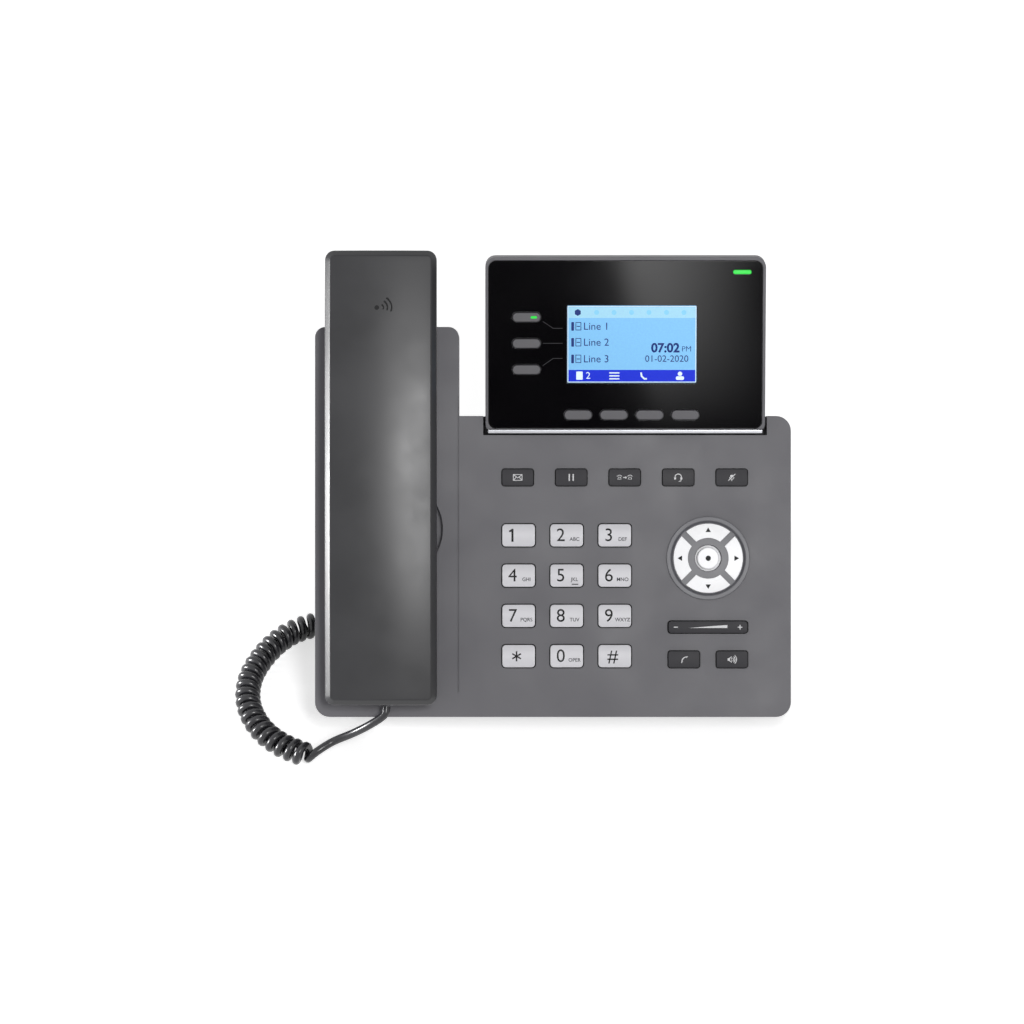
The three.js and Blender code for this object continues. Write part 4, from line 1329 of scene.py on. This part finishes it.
# %% Panel
LCD = (2.8, 39.3, 56.8, 34.3)
soft_keys = {f"softkey_{i + 1}": (-20.6 + 15.6 * i, 8.4, 12, 4.1) for i in range(4)}
line_keys = {f"line_key_{i + 1}": (-43.1, 51.3 - 11.5 * i, 12.2, 4) for i in range(3)}
front = plate((-59.5, 59.5), (2.5, 75.9), (-2.5, 0), 3.2, 8)
windows = [around(LCD[:2], LCD[2], LCD[3], (-4, 1), 0.6)]
for x, y, wide, high in [*soft_keys.values(), *line_keys.values()]:
    windows.append(around((x, y), wide, high, (-4, 1), high / 2 - 0.02, 0.4, 8))
windows.append(around((50.7, 71), 7.9, 1.7, (-4, 1), 0.8, 0.15, 6))
cut(front, *windows)
soften(front, 0.22, 3, 50)
wear(front, gloss_black)
guides = [
    line([(-36.0, 49.4), (-31.5, 46.4), (-27.4, 46.4)], 0.3, 0.0, guide_ink),
    line([(-36.0, 39.8), (-27.4, 39.8)], 0.3, 0.0, guide_ink),
    line([(-36.0, 30.0), (-31.5, 33.2), (-27.4, 33.2)], 0.3, 0.0, guide_ink),
]
front = together(front, *guides)
place(front, "display_front", "housing", DISPLAY, ["display_panel"])

strip = soften(plate((-59.9, 59.9), (0.2, 1.9), (-2.2, 0.2)), 0.3, 3, 50)
wear(strip, silver)
place(strip, "silver_strip", "housing", DISPLAY, ["display_trim"])

lamp = soften(around((50.7, 71), 7.9, 1.7, (-3.5, 0.2), 0.8, 0, 6), 0.15, 2, 50)
wear(lamp, green_glow)
place(lamp, "message_lens", "housing", DISPLAY, ["message_light"])

# %% Line keys and soft keys
for name, (x, y, wide, high) in [*soft_keys.items(), *line_keys.items()]:
    corner = high / 2 - 0.02
    cap = around((x, y), wide, high, (-3.4, 0.9), corner, 0, 8)
    soften(cap, 0.4, 3, 50)
    cap = together(cap, around((x, y), wide, high, (-4.0, -2.8), 1.0, 0.8))
    wear(cap, grey_key_abs)
    if name == "line_key_1":
        cap = together(cap, patch((x + 1.8, x + 4.6), (y - 0.55, y + 0.55), 0.9, green_glow, 0.5))
    place(cap, name + "_cap", name, DISPLAY, [name])

# %% [markdown]
# ## The screen
#
# A liquid crystal module shows dark segments on a pale blue back light. It is drawn as a lit
# plate with printed rows: a status bar, three lines with a small phone each, the time and
# date, and a dark blue bar with the soft keys' symbols. The names are plain line numbers.

# %% Screen and rows
glass_blue = ink("back-lit screen", "#7fbfee", 0.42, 0.25)
pale_bar = ink("pale status bar", "#9fd2ea", 0.42, 0.25)
blue_bar = ink("blue soft key bar", "#0a28c8", 0.5, 0.25)
navy = ink("dark blue segments", "#14307c", 0.15, 0.4)
faint = ink("faint segments", "#86cbec", 0.4, 0.4)
white_edge = ink("white screen border", "#dff0f8", 0.45, 0.3)
x0, y0 = LCD[0] - LCD[2] / 2, LCD[1] - LCD[3] / 2
x1, y1 = LCD[0] + LCD[2] / 2, LCD[1] + LCD[3] / 2
module = plate((x0 - 3, x1 + 3), (y0 - 3, y1 + 3), (-7.8, -2.8), 1)
window = plate((x0 + 0.3, x1 - 0.3), (y0 + 0.3, y1 - 0.3), (-3.0, -0.7), 0.5)
screen = wear(together(module, window), glass_blue)
GLASS = -0.68
ROWS = (y1 - 9.3, y1 - 16.3, y1 - 23.6)
left, right, low, high = x0 + 0.55, x1 - 0.55, y0 + 0.55, y1 - 0.55
border = [(left, low), (right, low), (right, high), (left, high)]
prints = [
    patch((x0 + 0.8, x1 - 0.8), (y1 - 5.6, y1 - 0.9), GLASS, pale_bar),
    patch((x0 + 0.8, x1 - 0.8), (y0 + 0.8, y0 + 5.9), GLASS, blue_bar),
    line(border, 0.45, GLASS, white_edge, closed=True),
]
for i, y in enumerate(ROWS):
    prints.append(patch((x0 + 2.0, x0 + 3.2), (y - 1.9, y + 1.9), GLASS, navy, 0.3))
    phone = [(x0 + a, y + b) for a, b in ((4.0, -1.6), (6.2, -1.6), (6.2, 1.7), (4.0, 1.7))]
    prints.append(line(phone, 0.45, GLASS, navy, closed=True))
    prints.append(line([(x0 + 4.4, y), (x0 + 5.8, y)], 0.4, GLASS, navy))
    prints.append(lettering(f"Line {i + 1}", (x0 + 7.2, y - 0.1), 4.6, navy, n=GLASS, align="LEFT"))
print("the rows hold", len(prints), "printed pieces")

# %% [markdown]
# The clock and the date stand at the right. The status bar's small symbols are plain dots, and
# the soft keys' symbols are a page with a number, a list, a handset and a person.

# %% Clock, status dots and soft key symbols
prints.append(lettering("07:02", (x1 - 13.8, ROWS[1] - 2.6), 5.6, navy, n=GLASS, thin=-0.03))
prints.append(lettering("PM", (x1 - 4.6, ROWS[1] - 3.0), 3.4, navy, n=GLASS, thin=0.01))
prints.append(lettering("01-02-2020", (x1 - 13.2, ROWS[2]), 4.1, navy, n=GLASS))
prints.append(wear(disc((x0 + 4.8, y1 - 3.2), 1.5, (GLASS, GLASS + 0.06), 6), navy))
for i in range(6):
    prints.append(spot((x0 + 13 + i * 7.6, y1 - 3.2), 1.1, GLASS + 0.05, faint, 16))
BAR = GLASS + 0.06
prints.append(patch((x0 + 4.2, x0 + 7.0), (y0 + 1.6, y0 + 5.2), BAR, white_edge, 0.3))
prints.append(lettering("2", (x0 + 9.4, y0 + 3.3), 4.2, white_edge, n=BAR))
for i in range(3):
    y = y0 + 2.0 + 1.3 * i
    prints.append(line([(x0 + 18.6, y), (x0 + 23.0, y)], 0.6, BAR, white_edge))
bend = ((-1.2, 1.4), (-0.9, -0.3), (0.3, -1.4), (1.4, -1.4))
bend = [(x0 + 33.6 + a, y0 + 3.4 + b) for a, b in bend]
prints.append(line(bend, 0.8, BAR, white_edge))
prints.append(wear(disc((x0 + 49.4, y0 + 4.2), 0.95, (BAR - 0.02, BAR + 0.03), 20), white_edge))
prints.append(patch((x0 + 47.6, x0 + 51.2), (y0 + 1.5, y0 + 3.1), BAR, white_edge, 0.7))
screen = together(screen, *prints)
place(screen, "screen_module", "housing", DISPLAY, ["lcd_module"])

# %% [markdown]
# ## The handset
#
# The handset is two shells that meet in a fine seam round its sides. The outer one arches
# from end to end and is crowned across, so that light runs down it in one broad soft band,
# and its long edges carry a flat chamfer that catches a bright line. A plate is sliced across
# and along, its slices are lifted to the arch and the crown, and the rim is then bevelled. A
# plain sound-wave mark is printed at the ear.

# %% Slicing and lifting
HANDSET = ((-99.15, -50.65), (5.7, 203.2))
MIDDLE_V = 104.45
HALF_LONG = 98.75
HALF_WIDE = 24.25
END_FLAT = 50


def slice_at(piece, axis, places):
    """Cut loops across a piece at these places along u (axis 0) or v (axis 1)."""
    for at in places:
        spot_on = [0, 0, 0]
        way = [0, 0, 0]
        spot_on[axis] = at * MM
        way[axis] = 1
        pick(piece, "faces", lambda face: True)
        bpy.ops.mesh.bisect(plane_co=spot_on, plane_no=way)
    leave_edit()


def grip_arch(v, at_ends, in_middle):
    """Height of the inner shell's grip: level at each end, risen in the middle."""
    from_middle = abs(v - MIDDLE_V) / (HALF_LONG - END_FLAT)
    if from_middle >= 1:
        return at_ends
    return at_ends + (in_middle - at_ends) * (1 + math.cos(math.pi * from_middle)) / 2


def lift(piece, near, height):
    """Set n of every corner close to the level `near` to height(u, v), in millimetres."""
    for corner in piece.data.vertices:
        if abs(corner.co.z - near * MM) < 0.05 * MM:
            corner.co.z = height(corner.co.x / MM, corner.co.y / MM) * MM
    piece.data.update()


# %% Outer shell
CROWN = 2.0
PEAK = 24.4
ARCH_RISE = 5.4
BLANK_TOP = 40
along_slices = [12 + 6.2 * i for i in range(31)]


def outer_top(u, v):
    """Height of the outer shell: it falls away from its middle both along and across."""
    across = (u - HANDSET_U) / HALF_WIDE
    along = (v - MIDDLE_V) / HALF_LONG
    return PEAK - ARCH_RISE * along**2 - CROWN * across**2


outer = plate(HANDSET[0], HANDSET[1], (13.3, BLANK_TOP), 4, 6)
slice_at(outer, 1, along_slices)
slice_at(outer, 0, [HANDSET_U + x for x in (-18, -12, -6, 0, 6, 12, 18)])
lift(outer, BLANK_TOP, outer_top)
pick(outer, "edges", lambda e: e.calc_face_angle(0) > 1.0 and e.verts[0].co.z > 15 * MM)
bpy.ops.mesh.bevel(offset=2.3 * MM, segments=1, affect="EDGES")
leave_edit()
soften(outer, 0.45, 3, 24)
smooth(outer, 35)
wear(outer, handset_abs)
mark_top = outer_top(HANDSET_U, 178)
waves = [
    line(arc((HANDSET_U - 0.4, 178.2), radius, -55, 55, 10), 0.75, mark_top, black_ink)
    for radius in (1.6, 3.4, 5.2)
]
bud = spot((HANDSET_U - 1.6, 178.2), 1.0, mark_top, black_ink)
outer = together(outer, bud, *waves)
place(outer, "handset_outer", "handset", FACE, ["handset_outer_shell"])

# %% [markdown]
# The inner shell faces the ear and the mouth. It carries two raised pads with rounded rims
# that sink into the cradle's wells, with slots for the receiver and one small hole for the
# microphone, and a socket in its lower end for the cord's plug.

# %% Inner shell
inner = plate(HANDSET[0], HANDSET[1], (-BLANK_TOP, 13), 4, 6)
slice_at(inner, 1, along_slices)
lift(inner, -BLANK_TOP, lambda u, v: grip_arch(v, 1.2, 6.2))
soften(inner, 1.2, 3, 60)
for v in (MOUTH_V, EAR_V):
    pad = around((HANDSET_U, v), 40, 39, (-9.2, 3.5), 9, 0, 10)
    soften(pad, 1.6, 4, 60)
    weld(inner, pad)
room = plate((HANDSET_U - 21, HANDSET_U + 21), (9, 200), (8.5, 20))
ear_room = around((HANDSET_U, EAR_V), 34, 33, (-7.0, 9), 6)
mouth_room = around((HANDSET_U, MOUTH_V), 34, 33, (-7.0, 9), 6)
cut(inner, room, ear_room, mouth_room)
holes = [around((HANDSET_U, EAR_V + 6 * i), 14, 1.8, (-12, -5), 0.88) for i in (-1, 0, 1)]
holes += [around((HANDSET_U + s * 9.5, EAR_V + 3), 1.8, 6, (-12, -5), 0.88) for s in (-1, 1)]
holes.append(disc((HANDSET_U, MOUTH_V), 1.2, (-12, -5), 24))
holes.append(plate((-76.5, -68.7), (0, 17.7), (4.7, 11.3)))
cut(inner, *holes)
soften(inner, 0.25, 2, 50)
wear(inner, handset_abs)
place(inner, "handset_inner", "handset", FACE, ["handset_inner_shell"])

# %% [markdown]
# ## In the cradle
#
# Two small pieces lie under the handset: the sprung plunger that tells the phone it is hung
# up, and a round tab that turns over to hold the handset when the phone is on a wall.

# %% Plunger and tab
post = soften(around((HANDSET_U, PLUNGER_V), 7, 7, (-10.1, 0.9), 1), 0.7, 4, 50)
collar = soften(around((HANDSET_U, PLUNGER_V), 10, 10, (-10.1, -8.7), 1.5), 0.2, 2, 50)
plunger = wear(together(post, collar), dark_key_abs)
place(plunger, "hook_button", "hook_plunger", FACE, ["hook_plunger"])

tab = disc((HANDSET_U, TAB_V), 8, (-2.7, -0.3), 64)
tab = cut(tab, around((HANDSET_U, 124.6), 7, 1.4, (-1.2, 1), 0.6))
lip = plate((HANDSET_U - 4, HANDSET_U + 4), (132.7, 135.1), (-1, 0.9), 0.8)
tab = soften(weld(tab, lip), 0.3, 3, 50)
wear(tab, back_abs)
place(tab, "hold_tab", "retention_tab", FACE, ["retention_tab"])

# %% [markdown]
# ## The stand
#
# The stand is a hollow moulding, seen from its side a triangle between the covers' back and
# the desk. Two pairs of hooks on its upper plate slide into slots in the back. It is drawn as
# its side view and pulled out to its width, then hollowed, and a window is cut in it so that
# cables reach the bays.

# %% Side views pulled out across


def pulled_across(points, left, right):
    """A prism: (y, z) points of the frame in millimetres, pulled out along x."""
    select_only()
    bpy.ops.mesh.primitive_circle_add(vertices=len(points), radius=MM, fill_type="NGON")
    piece = bpy.context.object
    for corner, (y, z) in zip(piece.data.vertices, points):
        corner.co = (left * MM, y * MM, z * MM)
    pick(piece, "faces", lambda face: True)
    bpy.ops.mesh.extrude_region_move(
        TRANSFORM_OT_translate={"value": ((right - left) * MM, 0, 0)}
    )
    bpy.ops.mesh.select_all(action="SELECT")
    bpy.ops.mesh.normals_make_consistent(inside=False)
    leave_edit()
    return piece


def back_point(v, off=0.0):
    """The (y, z) of a point on the covers' back, or this far behind it."""
    at = FACE @ Vector((0, v * MM, (BACK - off) * MM))
    return (at.y / MM, at.z / MM)


# %% Stand
STAND_WALL = 3
FOOT_TOP = 2.1
FOOT_DEPTH = 16
STAND_GAP = 0.3
START_V = 94
END_V = 126
foot_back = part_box("stand")[1].y / MM
foot_front = foot_back - FOOT_DEPTH
side_view = [
    (foot_front, FOOT_TOP),
    (foot_back, FOOT_TOP),
    back_point(END_V, STAND_GAP),
    back_point(START_V, STAND_GAP),
]
stand = soften(pulled_across(side_view, -50, 50), 1.2, 4, 20)
hollow_view = [
    (foot_front - 20, FOOT_TOP + STAND_WALL),
    (foot_back - STAND_WALL, FOOT_TOP + STAND_WALL),
    back_point(END_V - STAND_WALL, STAND_WALL + STAND_GAP),
    back_point(START_V - 20, STAND_WALL + STAND_GAP),
]
cut(stand, pulled_across(hollow_view, -47, 47))
cut(stand, plate((-30, 30), (0, 90), (14, 50)))
soften(stand, 0.5, 3, 40)
hook_parts = []
lip_low = BACK + BACK_WALL + STAND_GAP
for u in (-44, 44):
    for v in (START_V + 8, START_V + 26):
        neck = plate((u - 3.5, u + 3.5), (v, v + 4), (BACK - 1.3, lip_low + 2))
        lip = plate((u - 3.5, u + 3.5), (v, v + 8), (lip_low, lip_low + 2))
        hook_parts.append(soften(weld(neck, lip), 0.2, 2, 50))
for part in hook_parts:
    part.data.transform(FACE)
stand = together(stand, *hook_parts)
wear(stand, back_abs)
place(stand, "desk_stand", "stand", DESK, ["stand"])

# %% [markdown]
# ## Rubber feet
#
# Two strips of black rubber keep the phone from sliding. They are die-cut and moulded with
# fine ribs that bite on the desk.

# %% Rubber
RIB_PITCH = 2
rubber, tree, shader = blank_material("matt black moulded rubber")
where = add(tree, "ShaderNodeTexCoord").outputs["Object"]
crumb = add(tree, "ShaderNodeTexNoise", {"Scale": 1 / (0.5 * MM), "Detail": 3.0}, {"Vector": where})
shades = {"data_type": "RGBA", 6: srgb("#121213"), 7: srgb("#1e1e20")}
tone = add(tree, "ShaderNodeMix", shades, {0: crumb})
skin = add(tree, "ShaderNodeBump", {"Strength": 0.4, "Distance": 0.05 * MM}, {"Height": crumb})
link(tree, shader, {"Base Color": tone.outputs[2], "Normal": skin})
shader.inputs["Roughness"].default_value = 0.85

low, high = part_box("stand_foot")
pad = plate((low.x / MM, high.x / MM), (low.y / MM, high.y / MM), (0, high.z / MM), 1.5, 4)
grooves = [
    plate((low.x / MM - 1, high.x / MM + 1), (y - 0.35, y + 0.35), (-1, 0.5))
    for y in [low.y / MM + RIB_PITCH * (i + 1) for i in range(5)]
]
pad = soften(cut(pad, *grooves), 0.15, 2, 50)
wear(pad, rubber)
place(pad, "stand_rubber", "stand", DESK, ["stand_foot"])

front = back_point(1, STAND_GAP)
rear = back_point(9, STAND_GAP)
wedge = pulled_across([front, (front[0], 0), (rear[0], 0), rear], -90, 90)
soften(wedge, 0.5, 3, 20)
wear(wedge, rubber)
place(wedge, "front_rubber", "housing", DESK, ["base_foot"])

# %% [markdown]
# ## Sockets, screws and the blank plate
#
# In the bays, sockets show their mouths: two network ports with eight gold springs each, a
# round power socket with its centre pin, and the small audio ports. Screws sit deep in their
# bosses, and the shallow recess that would carry a rating plate holds a plain blank one.

# %% Details on the back
# Jack shells and screws are tinned steel: rolled sheet, bright but a little blurred.
jack_steel, tree, shader = blank_material("tinned steel jack shell")
where = add(tree, "ShaderNodeTexCoord").outputs["Object"]
rolled = add(tree, "ShaderNodeTexNoise", {"Scale": 1 / (1.2 * MM), "Detail": 3.0}, {"Vector": where})
dull = add(tree, "ShaderNodeMapRange", {"To Min": 0.25, "To Max": 0.45}, {"Value": rolled})
link(tree, shader, {"Roughness": dull})
shader.inputs["Base Color"].default_value = srgb("#b9bcc0")
shader.inputs["Metallic"].default_value = 1.0

springs = []
for port in (-27, -11):
    for i in range(8):
        x = port + (i - 3.5) * 1.02
        springs.append(plate((x - 0.2, x + 0.2), (94, 104), (-12.6, -12.3)))
for port in (-87, -73):
    for i in range(4):
        x = port + (i - 1.5) * 1.02
        springs.append(plate((x - 0.2, x + 0.2), (94, 102), (-15.6, -15.3)))
springs = wear(together(*springs), gold)
place(springs, "port_springs", "housing", FACE)

centre_pin = disc((0, 0), 1.0, (0, 9), 32)
soften(centre_pin, 0.4, 3, 40)
centre_pin.data.transform(Matrix.Rotation(-math.pi / 2, 4, "X"))
centre_pin.data.transform(Matrix.Translation((19.5 * MM, 93 * MM, -14.8 * MM)))
wear(centre_pin, jack_steel)
place(centre_pin, "power_pin", "housing", FACE)

screw_heads = []
for u, v in screws:
    head = disc((u, v), 2.7, (BACK + 2.2, BACK + 4), 40, 2.7)
    for turn in (0, 90):
        drive = plate((-1.6, 1.6), (-0.35, 0.35), (BACK, BACK + 3.2))
        drive.data.transform(Matrix.Rotation(math.radians(turn), 4, "Z"))
        drive.data.transform(Matrix.Translation((u * MM, v * MM, 0)))
        cut(head, drive)
    screw_heads.append(soften(head, 0.25, 2, 50))
screw_heads = wear(together(*screw_heads), jack_steel)
place(screw_heads, "case_screws", "housing", FACE)

blank_plate = soften(around((0, 22), 45, 17, (BACK + 0.1, BACK + 0.42), 1.6), 0.06, 2, 50)
wear(blank_plate, grey_key_abs)
place(blank_plate, "blank_plate", "housing", FACE)

# %% [markdown]
# ## What stays from the frame
#
# Behind the skins the frame's own pieces are right as they are, and only need their finish:
# the board in green solder mask, the keys' silicone mat, the loudspeaker, the receiver and
# the microphone, and the sockets.

# %% Finishes for the inner pieces
# Solder mask is a thin green lacquer; copper tracks lift it into paler lines.
solder_mask, tree, shader = blank_material("green solder mask board")
where = add(tree, "ShaderNodeTexCoord").outputs["Object"]
copper = {
    "Scale": 1 / (6 * MM),
    "Mortar Size": 0.03,
    "Color1": srgb("#1d5a33"),
    "Color2": srgb("#1a5230"),
    "Mortar": srgb("#2f7a48"),
}
tracks = add(tree, "ShaderNodeTexBrick", copper, {"Vector": where})
link(tree, shader, {"Base Color": tracks})
shader.inputs["Roughness"].default_value = 0.35
silicone = moulded_plastic("translucent silicone mat", "#b9babd", "#b0b1b5", 0.55)

inner_finishes = {
    "main_board": solder_mask,
    "keypad_membrane": silicone,
    "loudspeaker": black_abs_and_gap_shade,
    "handset_receiver": black_abs_and_gap_shade,
    "handset_microphone": black_abs_and_gap_shade,
    "network_jacks": jack_steel,
    "audio_jacks": black_abs_and_gap_shade,
    "power_jack": black_abs_and_gap_shade,
}
for name, finish in inner_finishes.items():
    wear(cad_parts[name], finish)
print("inner pieces finished:", len(inner_finishes))
